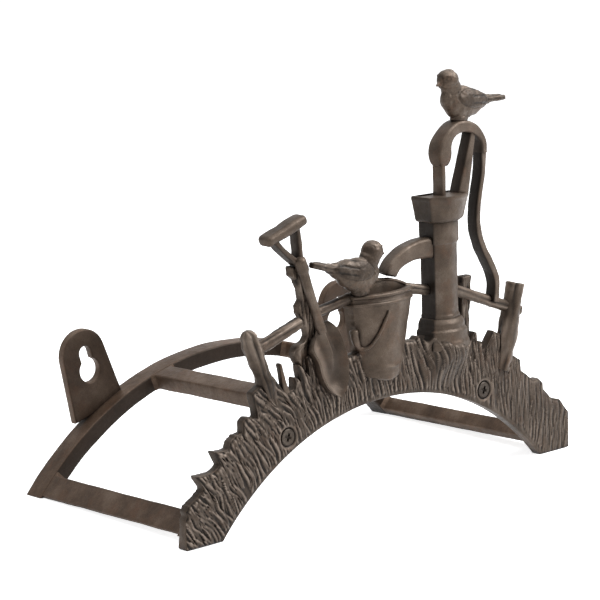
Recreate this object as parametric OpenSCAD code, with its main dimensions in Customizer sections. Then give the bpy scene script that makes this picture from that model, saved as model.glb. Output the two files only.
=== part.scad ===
// Cast-iron garden hose holder for a wall.
// A barrel-shaped cradle carries the coiled hose. Two lugs with keyholes hang it
// on the wall, and two countersunk screws hold the garden scene at its front.
// +X is to the right seen from the front, +Y points into the wall, +Z is up.
// The origin lies in the wall's plane, midway between the keyholes' round ends.

/* [Arch] */
// Inside radius of the front panel's arch
arch_r = 200; // [190:1:212]
// Height of the keyholes above the centre of that arch
hang_h = 215; // [211:1:222]
// Distance from the wall to the back of the front panel
cradle_depth = 171; // [120:1:220]

/* [Cradle casting] */
// Drop of the cradle's centre below the centre of the panel's arch
cradle_drop = 10; // [6:0.5:12]
// Step from the panel's edge up to the cradle's inside, at the crown
cradle_step = 5; // [3:0.5:7]
// Radial thickness of the cradle's bars
bar_t = 11.5; // [9:0.5:14]
// Chamfer of the arch's and the rail's cast edges
bar_edge = 1.2; // [0.6:0.1:2]
// Height of the cradle's soles above the centre of the panel's arch
cradle_sole = 137; // [133:0.5:146]
// Width of the rear arch along the wall's normal
rear_arch_w = 17; // [12:0.5:24]
// Width of the front rail behind the panel
front_rail_w = 12; // [9:0.5:18]
// Length along the curve of the bar at each foot of the cradle
foot_bar_w = 19; // [14:0.5:26]
// Angle of each upper bar from the crown
upper_bar_at = 16; // [13:0.5:20]
// Width of each upper bar
upper_bar_w = 16; // [10:0.5:20]

/* [Wall lugs] */
// Distance between the two keyholes' round ends
keyhole_spacing = 234; // [226:1:240]
// Thickness of the lugs
lug_t = 6.5; // [5:0.5:9]
// Radius of the lugs' round tops
lug_r = 18.2; // [17:0.1:22]
// Half width of the lugs at their root
lug_root = 25.5; // [22:0.5:28]
// Outward lean of the lugs
lug_lean = 16; // [8:0.5:18]
// Distance of each lug's middle line outward from its keyhole
lug_offset = 1.2; // [0:0.1:3]
// Radius of the keyholes' round ends, which pass the screw's head
key_r = 8.5; // [7:0.25:9.5]
// Half width of the keyholes' slots, which hold the screw's shank
slot_r = 4.8; // [3:0.1:5.2]
// Length of the slots from the round end's centre to their own end's centre
slot_l = 13; // [11:0.5:14]

/* [Front panel] */
// Thickness of the panel's plate
panel_t = 8; // [6:0.5:11]
// Radial height of the grass bank
bank_h = 39; // [34:0.5:44]
// Half width of the panel across its feet
panel_half_w = 181; // [176:1:188]
// Height of the panel's soles above the centre of the arch
sole_h = 132.5; // [126:0.5:138]
// Height that the lowest row of grass blades stands off the plate
blade_relief = 4; // [2:0.25:6]
// Free length of the grass blades above their row's roots
blade_l = 15; // [10:0.5:18]
// Number of rows of grass, one above another
blade_row_count = 5; // [3:1:6]
// Number of grass blades in each row
blade_count = 48; // [30:1:60]

/* [Screws] */
// Diameter of the countersunk screws' shanks
screw_d = 6; // [5:0.5:8]
// Diameter of their heads
screw_head_d = 12; // [10:0.5:14]
// Angle of each screw from the crown
screw_at = 26; // [24:0.5:29]
// Height of the screws above the inside of the arch
screw_h = 10.5; // [9:0.25:12]
// Clearance around the screws' shanks
screw_gap = 0.3; // [0.1:0.05:0.6]
// Width of the nuts across their flats
nut_af = 10; // [8:0.5:13]
// Thickness of the nuts
nut_t = 5; // [4:0.5:6.5]

/* [Fence] */
// Radius of the fence's round rails
rail_r = 4.2; // [3:0.1:5]
// Radius of the left post at its knob
left_post_r = 5.8; // [4:0.1:6.5]
// Radius of the left post at its neck
left_neck_r = 4; // [3:0.1:5]
// Radius of the right post
right_post_r = 5.5; // [4.5:0.1:7]
// Width of the two flat posts behind the spade and the pump
flat_post_w = 10; // [9:0.5:14]
// Thickness of those two flat posts
flat_post_t = 6; // [4:0.25:7]

/* [Spade] */
// Length of the spade's blade from its tip to its shoulders
spade_blade_l = 50; // [42:0.5:54]
// Length of the spade's shaft from the shoulders to the fork
shaft_l = 47; // [40:0.5:52]
// Height of the cross grip's middle above the fork
grip_rise = 23; // [18:0.5:25]
// Lean of the spade's blade to the left
blade_lean = 13.5; // [10:0.5:18]
// Lean of the spade's shaft to the left
shaft_lean = 19.5; // [15:0.5:22]
// Width of the spade's blade
spade_w = 29.5; // [24:0.5:34]
// Diameter of the spade's shaft
shaft_d = 7.5; // [6:0.25:9]
// Length of the spade's cross grip
grip_l = 36; // [28:0.5:38]
// Height of the cross grip's section
grip_h = 7; // [5:0.25:8]
// Depth of the cross grip from front to back
grip_depth = 12.5; // [9:0.5:14]
// Distance between the two arms where they meet the grip
arm_span = 22; // [16:0.5:26]
// Depth of those two arms from front to back
arm_depth = 9; // [7:0.5:11]
// Thickness of the two arms
arm_t = 3.2; // [2.5:0.1:4.5]

/* [Bucket] */
// Half width of the bucket at its rim
rim_half = 29; // [26:0.5:32]
// Overhang of the rim past the bucket's wall on each side
rim_over = 3; // [1.5:0.5:4]
// Half width of the bucket at its bottom
bottom_half = 16.5; // [14:0.5:22]
// Distance of the bottom's middle to the left of the rim's middle
bottom_shift = 2; // [0:0.5:4]
// Height of the bucket from its bottom to its rim
bucket_h = 59; // [50:0.5:62]
// Bulge of the bucket's front
bucket_bulge = 8; // [5:0.5:10]
// Height of the far side of the rim above the near side
rim_rise = 7; // [5:0.5:10]
// Height of the rim's band
rim_band = 8.5; // [6:0.5:12]
// Radius of the bucket's wire handle
bail_r = 1.9; // [1.4:0.1:2.6]

/* [Pump] */
// Distance of the pump's axis from the middle
pump_x = 52.5; // [48:0.5:57]
// Radius of the pump's barrel
barrel_r = 12.3; // [10:0.1:14]
// Radius of the pump's base
base_r = 18.5; // [16:0.5:20]
// Radius of the hopper's upper rim
hopper_r = 20.8; // [18:0.2:23]
// Height of the hopper's rim above the inside of the arch
hopper_top = 131; // [125:0.5:140]
// Height of the hopper
hopper_h = 18; // [14:0.5:22]
// Radius of the spout's pipe
spout_r = 5.9; // [4.5:0.1:6.5]
// Depth of the handle's gooseneck from front to back
neck_depth = 12.5; // [10:0.5:14]
// Depth of the handle's lever and strut from front to back
lever_depth = 9.5; // [7:0.5:12]
// Width of the handle's ribs seen from the front
handle_rib = 4.5; // [3.5:0.1:6]
// Outer radius of the handle's gooseneck
neck_r = 21; // [19:0.5:24]

/* [Birds] */
// Length of each bird from its breast to the root of its tail
bird_l = 40.5; // [34:0.5:44]
// Height of each bird's body
bird_h = 22.4; // [18:0.2:25]
// Radius of each bird's head
bird_head = 9; // [7:0.1:10]
// Thickness of each bird from front to back
bird_t = 15; // [12:0.5:17]
// Angle by which the bird on the bucket stoops
bird_stoop = 13; // [8:1:20]

/* [Hidden] */
$fn = 64;

iron = [0.40, 0.36, 0.33];
dark_iron = [0.33, 0.29, 0.26];
steel = [0.20, 0.18, 0.17];

// Depths along Y, from the wall forward
panel_back = -cradle_depth;
plate_front = panel_back - panel_t;
pump_y = panel_back - 6.6;

// Radii of the cradle about its own centre, and the bank's outer radius
cradle_in = arch_r + cradle_drop + cradle_step;
cradle_out = cradle_in + bar_t;
bank_r = arch_r + bank_h;
cradle_end = acos((cradle_sole + cradle_drop) / cradle_out);
foot_bar_deg = foot_bar_w / cradle_out * 180 / PI;
upper_bar_deg = upper_bar_w / cradle_out * 180 / PI;

// A point at radius r and at angle a from the crown, positive to the right
function polar(r, a) = [r * sin(a), r * cos(a)];
function lerp(a, b, t) = a + (b - a) * t;

// Puts the arch's centre where it belongs below the keyholes
module hung() {
  translate([0, 0, -hang_h]) children();
}

// Stands a drawing made in X and Z up as a slab from depth front to depth back
module slab(front, back) {
  translate([0, back, 0]) rotate([90, 0, 0]) linear_extrude(back - front) children();
}

// A rectangle with round corners, from its lower left corner
module soft_rect(w, h, r) {
  translate([r, 0]) square([w - 2 * r, h]);
  translate([0, r]) square([w, h - 2 * r]);
  for (x = [r, w - r], y = [r, h - r]) translate([x, y]) circle(r);
}

// A rectangle with its corners cut off at 45 degrees
module cut_rect(w, h, c) {
  polygon([[c, 0], [w - c, 0], [w, c], [w, h - c], [w - c, h], [c, h], [0, h - c], [0, c]]);
}

// A bar bent about the cradle's centre at depths front to back, cut level at its soles
module cradle_bar(front, back) {
  over = cradle_end + 2;
  intersection() {
    translate([0, 0, -cradle_drop]) rotate([90, 0, 0]) rotate([0, 0, 90 - over])
      rotate_extrude(angle = 2 * over) translate([cradle_in, -back]) cut_rect(bar_t, back - front, bar_edge);
    above_soles();
  }
}

// All the space above the cradle's soles
module above_soles() {
  translate([-cradle_out, panel_back - 1, cradle_sole]) cube([2 * cradle_out, cradle_depth + 2, cradle_out]);
}

// A straight bar along Y whose section is a piece of the cradle's ring
module cross_bar(middle, width) {
  front = panel_back + front_rail_w;
  translate([0, 0, -cradle_drop]) slab(front, -rear_arch_w)
    rotate([0, 0, -middle]) intersection() {
      difference() {
        circle(cradle_out);
        circle(cradle_in);
      }
      polygon([[0, 0], polar(2 * cradle_out, -width / 2), polar(2 * cradle_out, width / 2)]);
    }
}

module cradle_rear_arch() {
  color(iron) hung() cradle_bar(-rear_arch_w, 0);
}

module cradle_front_rail() {
  color(iron) hung() difference() {
    cradle_bar(panel_back, panel_back + front_rail_w);
    for (side = [-1, 1]) screw_hole(side);
  }
}

module foot_bar(side) {
  over = 2;
  color(iron) hung() intersection() {
    cross_bar(side * (cradle_end + over - (foot_bar_deg + over) / 2), foot_bar_deg + over);
    above_soles();
  }
}

module upper_bar(side) {
  color(iron) hung() cross_bar(side * upper_bar_at, upper_bar_deg);
}

// Wall lugs

// Depth of the lugs' roots below the keyholes, inside the cradle's ring
lug_root_depth = 63;

// A lug's blank, upright about the keyhole's round end: a round top on tapered flanks
module lug_blank() {
  top_rise = slot_l - 1.2;
  root_drop = lug_root_depth + top_rise;
  touch = atan2(-root_drop, lug_root) + acos(lug_r / norm([lug_root, root_drop]));
  translate([0, 0, top_rise]) {
    slab(-lug_t, 0) circle(lug_r);
    slab(-lug_t, 0) polygon([
      [lug_r * cos(touch), lug_r * sin(touch)], [lug_root, -root_drop],
      [-lug_root, -root_drop], [-lug_r * cos(touch), lug_r * sin(touch)]
    ]);
  }
}

module wall_lug(side) {
  color(iron) difference() {
    translate([side * keyhole_spacing / 2, 0, 0]) rotate([0, side * lug_lean, 0]) difference() {
      translate([side * lug_offset, 0, 0]) lug_blank();
      rotate([90, 0, 0]) translate([0, 0, -1]) cylinder(h = lug_t + 2, r = key_r);
      rotate([90, 0, 0]) translate([0, slot_l, -1]) cylinder(h = lug_t + 2, r = slot_r);
      translate([-slot_r, -lug_t - 1, 0]) cube([2 * slot_r, lug_t + 2, slot_l]);
    }
    hung() translate([0, 1, -cradle_drop]) rotate([90, 0, 0]) cylinder(h = lug_t + 2, r = cradle_out);
  }
}

// Front panel

// Tufts that break the bank's outer edge: angle of the foot, half width in degrees,
// angle of the tip, and rise of the tip above the bank
tufts = [
  [-46.4, 1.0, -47.2, 2.5], [-42.4, 1.2, -43.4, 6.5], [-37.8, 1.2, -38.6, 6.5], [-34.8, 1.0, -35.4, 3],
  [-31.6, 1.1, -32.3, 3.5], [-28.6, 1.0, -29.2, 2], [-23.2, 1.1, -22.6, 18], [-19.6, 1.1, -19.9, 10],
  [-17.0, 1.0, -17.6, 5], [-14.0, 1.1, -14.6, 4], [-11.4, 1.0, -12.0, 3], [5.6, 1.0, 5.2, 2], [7.4, 0.9, 7.2, 3],
  [17.4, 1.0, 17.2, 5], [19.6, 1.0, 19.8, 9], [21.6, 0.8, 22.0, 3], [24.4, 1.3, 23.8, 12.5],
  [26.2, 0.9, 26.4, 6], [30.8, 1.0, 31.4, 8], [33.6, 1.0, 34.0, 2.5], [38.4, 1.1, 38.8, 4.5]
];

// The bank with its feet and its tufts, as a slab from depth front to depth back
module panel_slab(front, back) {
  difference() {
    union() {
      slab(front, back) intersection() {
        circle(bank_r, $fn = 180);
        translate([-panel_half_w, sole_h]) square([2 * panel_half_w, bank_r]);
      }
      for (t = tufts) slab(front, back) polygon([
        polar(bank_r - 4, t[0] - t[1]), polar(bank_r + t[3], t[2]), polar(bank_r - 4, t[0] + t[1])
      ]);
    }
    slab(front - 1, back + 1) circle(arch_r, $fn = 180);
  }
}

module screw_hole(side) {
  at = polar(arch_r + screw_h, side * screw_at);
  translate([at[0], plate_front - 1, at[1]]) rotate([-90, 0, 0])
    cylinder(h = panel_t + front_rail_w + 2, d = screw_d + 2 * screw_gap);
}

module countersink(side) {
  at = polar(arch_r + screw_h, side * screw_at);
  translate([at[0], plate_front, at[1]]) rotate([-90, 0, 0]) screw_cone(screw_gap);
}

// The cone under a countersunk head, with its wide end at the plate's front
module screw_cone(gap) {
  top = screw_head_d / 2 + gap;
  low = screw_d / 2 + gap;
  cylinder(h = top - low, r1 = top, r2 = low);
}

module panel_arch() {
  color(dark_iron) hung() difference() {
    panel_slab(plate_front, panel_back);
    for (side = [-1, 1]) {
      screw_hole(side);
      countersink(side);
    }
  }
}

// The blades stand in rows like thatch: each row is one sheet with a jagged upper edge, and
// the lower rows lie in front of the upper ones

// Half angle over which the blades are spread, how far the tips vary in height, and the bed
// that shows between the blades
blade_end = 54;
tip_swing = 2.5;
bed_relief = 0.8;

// Lean of the blades from the vertical: most at the left foot, and the other way at the right
function grass_lean(a) = -15 + 0.4 * a;

// A point at height up along the blade whose root is at radius r and angle a
function blade_point(r, a, up) = polar(r, a) + up * [sin(grass_lean(a)), cos(grass_lean(a))];

module blade_row(row) {
  share = row / (blade_row_count - 1);
  root = arch_r + lerp(-2, bank_h - blade_l - 1, share);
  step = 2 * blade_end / blade_count;
  start = (0.37 * row % 1) * step - blade_end;
  slab(plate_front - blade_relief * lerp(1, 0.35, share), plate_front + 2) polygon(concat(
    [polar(arch_r - 12, blade_end + step), polar(arch_r - 12, -blade_end - step)],
    [for (i = [0 : blade_count - 1], tip = [0, 1])
      let (up = tip * (blade_l + tip_swing * sin(i * 137 + row * 71)))
      blade_point(root, start + (i + tip * 0.45) * step, up)],
    [polar(root, start + blade_count * step)]
  ));
}

module grass_blades() {
  color(iron) hung() difference() {
    intersection() {
      union() {
        slab(plate_front - bed_relief, plate_front + 2) circle(bank_r + blade_l, $fn = 180);
        for (row = [0 : blade_row_count - 1]) blade_row(row);
      }
      panel_slab(plate_front - 2 * blade_relief, plate_front);
    }
    for (side = [-1, 1]) {
      at = polar(arch_r + screw_h, side * screw_at);
      translate([at[0], plate_front + 1, at[1]]) rotate([90, 0, 0])
        cylinder(h = 3 * blade_relief, d = screw_head_d + 3);
    }
    left_post_form();
    right_post_form();
    spade_blade_form();
    bucket_form();
    pump_base_form();
  }
}

// Screws and nuts

module screw(side) {
  at = polar(arch_r + screw_h, side * screw_at);
  grip = panel_t + front_rail_w + nut_t + 1.5;
  recess_w = 1.1;
  recess_l = 0.48 * screw_head_d;
  color(steel) hung() translate([at[0], plate_front, at[1]]) rotate([-90, 0, 0]) difference() {
    union() {
      screw_cone(0);
      cylinder(h = grip, d = screw_d);
    }
    for (turn = [0, 90]) rotate([0, 0, turn]) translate([-recess_l / 2, -recess_w / 2, -1])
      cube([recess_l, recess_w, 3]);
  }
}

module nut(side) {
  at = polar(arch_r + screw_h, side * screw_at);
  color(steel) hung() translate([at[0], panel_back + front_rail_w, at[1]]) rotate([-90, 0, 0]) difference() {
    cylinder(h = nut_t, d = nut_af / cos(30), $fn = 6);
    translate([0, 0, -1]) cylinder(h = nut_t + 2, d = screw_d + 0.1);
  }
}

// Fence

// Ends of the rails and posts in X and in height above the inside of the arch
left_post = [[-103.8, 10.6], [-122.6, 59.5]];
right_post = [[116, 14], [128.6, 57.5]];
rear_post = [[75.5, 20], [81, 71]];
left_rail = [[-117, 49], [-78, 65]];
middle_rail = [[-60, 66], [-32, 71]];
bucket_rail = [[20, 71], [44, 66]];
right_rail = [[62, 65], [132, 39.5]];
rail_y = panel_back - rail_r - 1;

// A round bar from p to q, lying in the plane at depth y
module round_bar(p, q, r, y) {
  d = q - p;
  translate([p[0], y, arch_r + p[1]]) rotate([0, atan2(d[0], d[1]), 0]) cylinder(h = norm(d), r = r);
}

// The same bar turned with a domed end at q
module domed_bar(p, q, r, y) {
  d = q - p;
  translate([p[0], y, arch_r + p[1]]) rotate([0, atan2(d[0], d[1]), 0]) rotate_extrude() {
    square([r, norm(d)]);
    translate([0, norm(d)]) intersection() {
      circle(r);
      square([r, r]);
    }
  }
}

module off_plate() {
  difference() {
    children();
    panel_slab(plate_front, panel_back + 1);
  }
}

// A round post with a domed knob, a thinner neck below it and a wider foot that tapers into the bank
module left_post_form() {
  d = left_post[1] - left_post[0];
  long = norm(d);
  translate([left_post[0][0], panel_back - left_post_r, arch_r + left_post[0][1]])
    rotate([0, atan2(d[0], d[1]), 0]) rotate_extrude() {
      polygon([[0, 0], [left_neck_r, 0], [left_post_r, 0.16 * long], [left_neck_r, 0.54 * long],
        [left_neck_r, 0.68 * long], [left_post_r, 0.85 * long], [left_post_r, long], [0, long]]);
      translate([0, long]) intersection() {
        circle(left_post_r);
        square([left_post_r, left_post_r]);
      }
    }
}

module right_post_form() {
  round_bar(right_post[0], right_post[1], right_post_r, panel_back - right_post_r);
}

// A flat post with a straight outline between its two ends
module flat_post(ends) {
  d = ends[1] - ends[0];
  slab(panel_back - flat_post_t, panel_back)
    translate([ends[0][0], arch_r + ends[0][1]]) rotate([0, 0, -atan2(d[0], d[1])])
      translate([-flat_post_w / 2, 0]) square([flat_post_w, norm(d)]);
}

// The weathered left edge of the post behind the spade, from its foot to its top
middle_post_edge = [
  [-64, 36], [-69, 47.5], [-70.5, 56], [-73.5, 63.5], [-76.5, 67.5], [-77, 72.5], [-73.8, 76],
  [-75, 83.5], [-78, 89.5], [-82, 94.5], [-82.5, 99]
];

module middle_post_form() {
  n = len(middle_post_edge) - 1;
  slab(panel_back - flat_post_t, panel_back) translate([0, arch_r]) polygon(concat(
    middle_post_edge,
    [middle_post_edge[n] + [flat_post_w, 1.5], middle_post_edge[0] + [flat_post_w, 0]]
  ));
}

module fence_post_left() {
  color(iron) hung() off_plate() left_post_form();
}

module fence_post_right() {
  color(iron) hung() off_plate() right_post_form();
}

module fence_post_middle() {
  color(dark_iron) hung() off_plate() middle_post_form();
}

module fence_post_rear() {
  color(dark_iron) hung() difference() {
    off_plate() flat_post(rear_post);
    rail_form(right_rail);
    pump_base_form();
    pump_barrel_form();
  }
}

module rail_form(ends) {
  round_bar(ends[0], ends[1], rail_r, rail_y);
}

module fence_rail_left() {
  color(iron) hung() difference() {
    rail_form(left_rail);
    left_post_form();
    middle_post_form();
  }
}

module fence_rail_middle() {
  color(iron) hung() difference() {
    union() {
      rail_form(middle_rail);
      rail_form(bucket_rail);
    }
    spade_shaft_form();
    bucket_form();
    bucket_rim_form();
    pump_barrel_form();
  }
}

module fence_rail_right() {
  color(iron) hung() difference() {
    domed_bar(right_rail[0], right_rail[1], rail_r, rail_y);
    right_post_form();
    pump_barrel_form();
  }
}

// Spade, drawn upright about the joint of its blade and shaft and then leaned

spade_joint = [-62, 59];
blade_front = plate_front - 8;
shaft_y = panel_back - flat_post_t - shaft_d / 2 + 0.5;
grip_offset = -4;

module spade_place(lean) {
  translate([spade_joint[0], 0, arch_r + spade_joint[1]]) rotate([0, -lean, 0]) children();
}

// A round-nosed blade with square shoulders that slope up to the shaft
module spade_blade_outline() {
  nose = 16;
  polygon(concat(
    [for (i = [0 : 12]) [spade_w / 2 * cos(180 + 15 * i), nose - spade_blade_l + nose * sin(180 + 15 * i)]],
    [[spade_w / 2, -18], [spade_w / 2 - 2.5, -2], [shaft_d / 2, 1], [-shaft_d / 2, 1], [1.5 - spade_w / 2, -2],
     [-spade_w / 2, -18]]
  ));
}

module spade_blade_form() {
  spade_place(blade_lean) slab(blade_front, plate_front) spade_blade_outline();
}

module spade_shaft_form() {
  collar = 9;
  spade_place(shaft_lean) translate([0, shaft_y, 0]) {
    translate([0, 0, 1]) cylinder(h = shaft_l - 1, d = shaft_d);
    translate([0, 0, shaft_l - collar]) cylinder(h = collar, d = shaft_d + 2);
  }
}

module spade_blade() {
  dish_r = 60;
  dish = 3.2;
  color(iron) hung() difference() {
    spade_blade_form();
    spade_place(blade_lean) translate([0, blade_front - dish_r + dish, 4 - spade_blade_l])
      cylinder(h = spade_blade_l - 10, r = dish_r);
    spade_shaft_form();
  }
}

module spade_shaft() {
  color(iron) hung() difference() {
    spade_shaft_form();
    middle_post_form();
  }
}

module spade_grip_form() {
  spade_place(shaft_lean) translate([grip_offset - grip_l / 2, panel_back, shaft_l + grip_rise - grip_h / 2])
    rotate([90, 0, 90]) linear_extrude(grip_l) mirror([1, 0]) soft_rect(grip_depth, grip_h, 2.5);
}

module spade_arms() {
  reach = grip_rise - grip_h / 2;
  color(iron) hung() difference() {
    spade_place(shaft_lean) translate([0, 0, shaft_l]) for (side = [-1, 1])
      slab(panel_back - arm_depth, panel_back) polygon([
        [grip_offset + side * (arm_span + arm_t) / 2, reach],
        [grip_offset + side * (arm_span - arm_t) / 2, reach],
        [-side * 0.5, 3], [-side * 0.5, 0], [side * shaft_d / 2, 0]
      ]);
    middle_post_form();
  }
}

module spade_grip() {
  color(iron) hung() spade_grip_form();
}

// Bucket

bucket_mid = -5;
bucket_foot = 14;
bucket_front = plate_front - 2;

module bucket_place() {
  translate([bucket_mid, 0, arch_r + bucket_foot]) children();
}

// Radius of the arc across the bucket's front, and that arc's depth at a distance from its middle
front_r = (rim_half * rim_half + bucket_bulge * bucket_bulge) / (2 * bucket_bulge);
function front_at(x) = bucket_front - bucket_bulge + front_r - sqrt(front_r * front_r - x * x);

// Rounds the front of what it holds to that arc, moved forward by extra
module bucket_round(extra) {
  intersection() {
    children();
    translate([0, front_at(0) + front_r - extra, -20]) cylinder(h = bucket_h + 60, r = front_r);
  }
}

// Tapered outline with a shallow curve along its bottom edge
module bucket_outline() {
  sag = 3;
  wall = rim_half - rim_over;
  polygon(concat(
    [for (i = [-4 : 4]) [bottom_half * i / 4 - bottom_shift, sag * i * i / 16]],
    [[wall, bucket_h - rim_band], [-wall, bucket_h - rim_band]]
  ));
}

module bucket_form() {
  bucket_place() bucket_round(0) slab(front_at(0), panel_back) bucket_outline();
}

module bucket_body() {
  hoop = 0.8;
  hoop_at = 6;
  hoop_w = 4;
  color(iron) hung() off_plate() {
    bucket_form();
    bucket_place() bucket_round(hoop) slab(front_at(0) - hoop, bucket_front)
      translate([-bottom_half - bottom_shift, hoop_at]) square([2 * bottom_half, hoop_w]);
  }
}

// The arched far side of the rim, as it shows above the near side
module far_rim_outline() {
  r = (rim_half * rim_half + rim_rise * rim_rise) / (2 * rim_rise);
  intersection() {
    translate([0, bucket_h + rim_rise - r]) circle(r);
    translate([-rim_half, bucket_h]) square([2 * rim_half, 2 * rim_rise]);
  }
}

module bucket_rim_form() {
  low = bucket_h - rim_band;
  bucket_place() {
    bucket_round(1.5) slab(front_at(0) - 2, panel_back)
      translate([-rim_half, low]) square([2 * rim_half, rim_band]);
    slab(plate_front, plate_front + 4) far_rim_outline();
  }
}

module bucket_rim() {
  groove = 1.4;
  color(iron) hung() difference() {
    bucket_rim_form();
    bucket_place() {
      translate([0, plate_front + 3.5, bucket_h - 2.5]) bucket_mouth();
      translate([0, front_at(0) + front_r, bucket_h - rim_band / 2 - 1]) difference() {
        cylinder(h = 2, r = front_r + 3);
        translate([0, 0, -1]) cylinder(h = 4, r = front_r + 1.5 - groove);
      }
    }
  }
}

// The shallow hollow inside the rim
module bucket_mouth() {
  r = rim_half - 3;
  intersection() {
    translate([0, r * 1.6, 0]) cylinder(h = 10, r = r * 2);
    translate([-r, -20, 0]) cube([2 * r, 20, 10]);
  }
}

// Path of the wire handle across and up from the middle of the bucket's bottom
bail_path = [[-28.5, 36], [-27.5, 29], [-23, 23], [-18, 25.5], [-11, 35], [-3.5, 47]];

// A wire handle that lies on the bucket's front and follows its curve
module bucket_bail() {
  color(iron) hung() difference() {
    bucket_place() bucket_round(1.2 * bail_r) slab(front_at(0) - 2 * bail_r, bucket_front + 1)
      ribbon(spline(bail_path, 3), 2 * bail_r);
    bucket_form();
    bucket_rim_form();
  }
}

// Birds

// Stations along a bird from its tail's tip to its neck: shares of the body's length and
// height, and the radius as a share of the height
bird_stations = [
  [-1.02, 0.45, 0.10], [-0.53, 0.44, 0.16], [-0.38, 0.44, 0.30], [-0.20, 0.47, 0.42],
  [0, 0.50, 0.49], [0.155, 0.60, 0.47], [0.24, 0.89, 0.38]
];

// A small plain bird that faces +X and stoops, with a short perch below its belly
module bird(stoop) {
  mid = bird_h / 2;
  head = [0.30 * bird_l, 0, 1.12 * bird_h];
  perch = 5;
  translate([0, 0, mid]) rotate([0, stoop, 0]) scale([1, bird_t / bird_h, 1]) translate([0, 0, -mid]) {
    for (i = [0 : len(bird_stations) - 2]) hull() for (s = [bird_stations[i], bird_stations[i + 1]])
      translate([s[0] * bird_l, 0, s[1] * bird_h]) sphere(s[2] * bird_h, $fn = 18);
    translate(head) sphere(bird_head, $fn = 24);
    translate([0, 0, -perch]) cylinder(h = mid + perch, r = 0.3 * bird_h);
    hull() {
      translate(head + bird_head * [0.7, 0, -0.15]) sphere(0.35 * bird_head, $fn = 10);
      translate(head + bird_head * [1.2, 0, -0.35]) sphere(0.1 * bird_head, $fn = 8);
    }
  }
}

// Middles of the two birds' bodies
bucket_bird_x = -30.2;
pump_bird_x = 76;

module bucket_bird() {
  color(iron) hung() difference() {
    translate([bucket_bird_x, panel_back - bird_t / 2 - 3, arch_r + bucket_foot + bucket_h + rim_rise - 2])
      bird(bird_stoop);
    bucket_rim_form();
    spade_shaft_form();
    middle_post_form();
  }
}

module pump_bird() {
  color(iron) hung() difference() {
    translate([pump_bird_x, pump_y, arch_r + neck_mid[1] + neck_r + 1.5]) mirror([1, 0, 0]) bird(0);
    gooseneck_form();
  }
}

// Pump

base_low = 20;
base_top = 47;
neck_low = 98;

// Centre of the gooseneck, and how far its two ends reach below it
neck_mid = [73, 158];
neck_drop = 3;

// Turns a profile of radius and height about the pump's axis and cuts its back flat
module pump_turned(profile) {
  intersection() {
    translate([pump_x, pump_y, arch_r]) rotate_extrude() polygon(profile);
    translate([-500, panel_back - 100, 0]) cube([1000, 100, 1000]);
  }
}

module pump_base_form() {
  pump_turned([[0, base_low], [base_r + 1, base_low], [base_r + 1, base_top - 16], [base_r, base_top - 14],
    [base_r, base_top - 9], [base_r - 1.5, base_top - 7], [base_r - 1.5, base_top - 3],
    [barrel_r + 1.5, base_top], [0, base_top]]);
}

module pump_barrel_form() {
  low = hopper_top - hopper_h;
  pump_turned([[0, base_top], [barrel_r, base_top], [barrel_r, neck_low], [barrel_r + 1.3, neck_low + 1],
    [barrel_r + 1.3, low], [0, low]]);
}

module pump_base() {
  color(iron) hung() off_plate() pump_base_form();
}

module pump_barrel() {
  color(iron) hung() pump_barrel_form();
}

module pump_hopper() {
  low = hopper_top - hopper_h;
  color(iron) hung() pump_turned([[0, low], [barrel_r + 3, low], [hopper_r - 3.5, low + 1.5],
    [hopper_r - 0.6, hopper_top - 3], [hopper_r, hopper_top - 2], [hopper_r, hopper_top], [0, hopper_top]]);
}

// A pipe that comes out of the barrel and turns down
module pump_spout() {
  bend = 13;
  reach = 33.5;
  high = 96;
  color(iron) hung() difference() {
    translate([pump_x - reach, pump_y, arch_r + high]) {
      rotate([0, 90, 0]) cylinder(h = reach, r = spout_r);
      translate([0, 0, -bend]) rotate([90, 0, 0]) rotate([0, 0, 90])
        rotate_extrude(angle = 90) translate([bend, 0]) circle(spout_r);
      translate([-bend, 0, -bend - 1.5]) cylinder(h = 1.5, r = spout_r);
    }
    translate([pump_x - reach - bend, pump_y, arch_r + high - bend - 2.5]) cylinder(h = 4, r = spout_r - 1.8);
    pump_barrel_form();
  }
}

module pump_rod() {
  rod_w = 4.2;
  rod_at = 54.2;
  color(iron) hung() translate([rod_at - rod_w / 2, pump_y - lever_depth / 2, arch_r + hopper_top])
    cube([rod_w, lever_depth, neck_mid[1] - neck_drop - hopper_top]);
}

// A curved ribbon of even width along a list of points
function side_of(p, i, w) =
  let (a = p[max(i - 1, 0)], b = p[min(i + 1, len(p) - 1)], d = (b - a) / norm(b - a))
    p[i] + w / 2 * [-d[1], d[0]];
module ribbon(p, w) {
  n = len(p) - 1;
  polygon(concat([for (i = [0 : n]) side_of(p, i, w)], [for (i = [n : -1 : 0]) side_of(p, i, -w)]));
}

// A smooth curve through hand-set points, with steps points between each pair
function spline(p, steps) = concat(
  [for (i = [0 : len(p) - 2], k = [0 : steps - 1])
    let (t = k / steps, a = p[max(i - 1, 0)], b = p[i], c = p[i + 1], d = p[min(i + 2, len(p) - 1)])
      0.5 * (2 * b + (c - a) * t + (2 * a - 5 * b + 4 * c - d) * t * t + (3 * b - a - 3 * c + d) * t * t * t)],
  [p[len(p) - 1]]
);

lever_path = [
  [94.4, 158], [93.4, 144], [91, 132], [88.6, 122], [87.4, 111], [88.2, 101], [92, 90.5], [98.4, 79.5],
  [103.4, 70.5], [105.4, 62], [104, 51]
];
strut_top = [84.5, 172];
strut_foot = [79.5, hopper_top];
strut_flare = 4.5;

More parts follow.
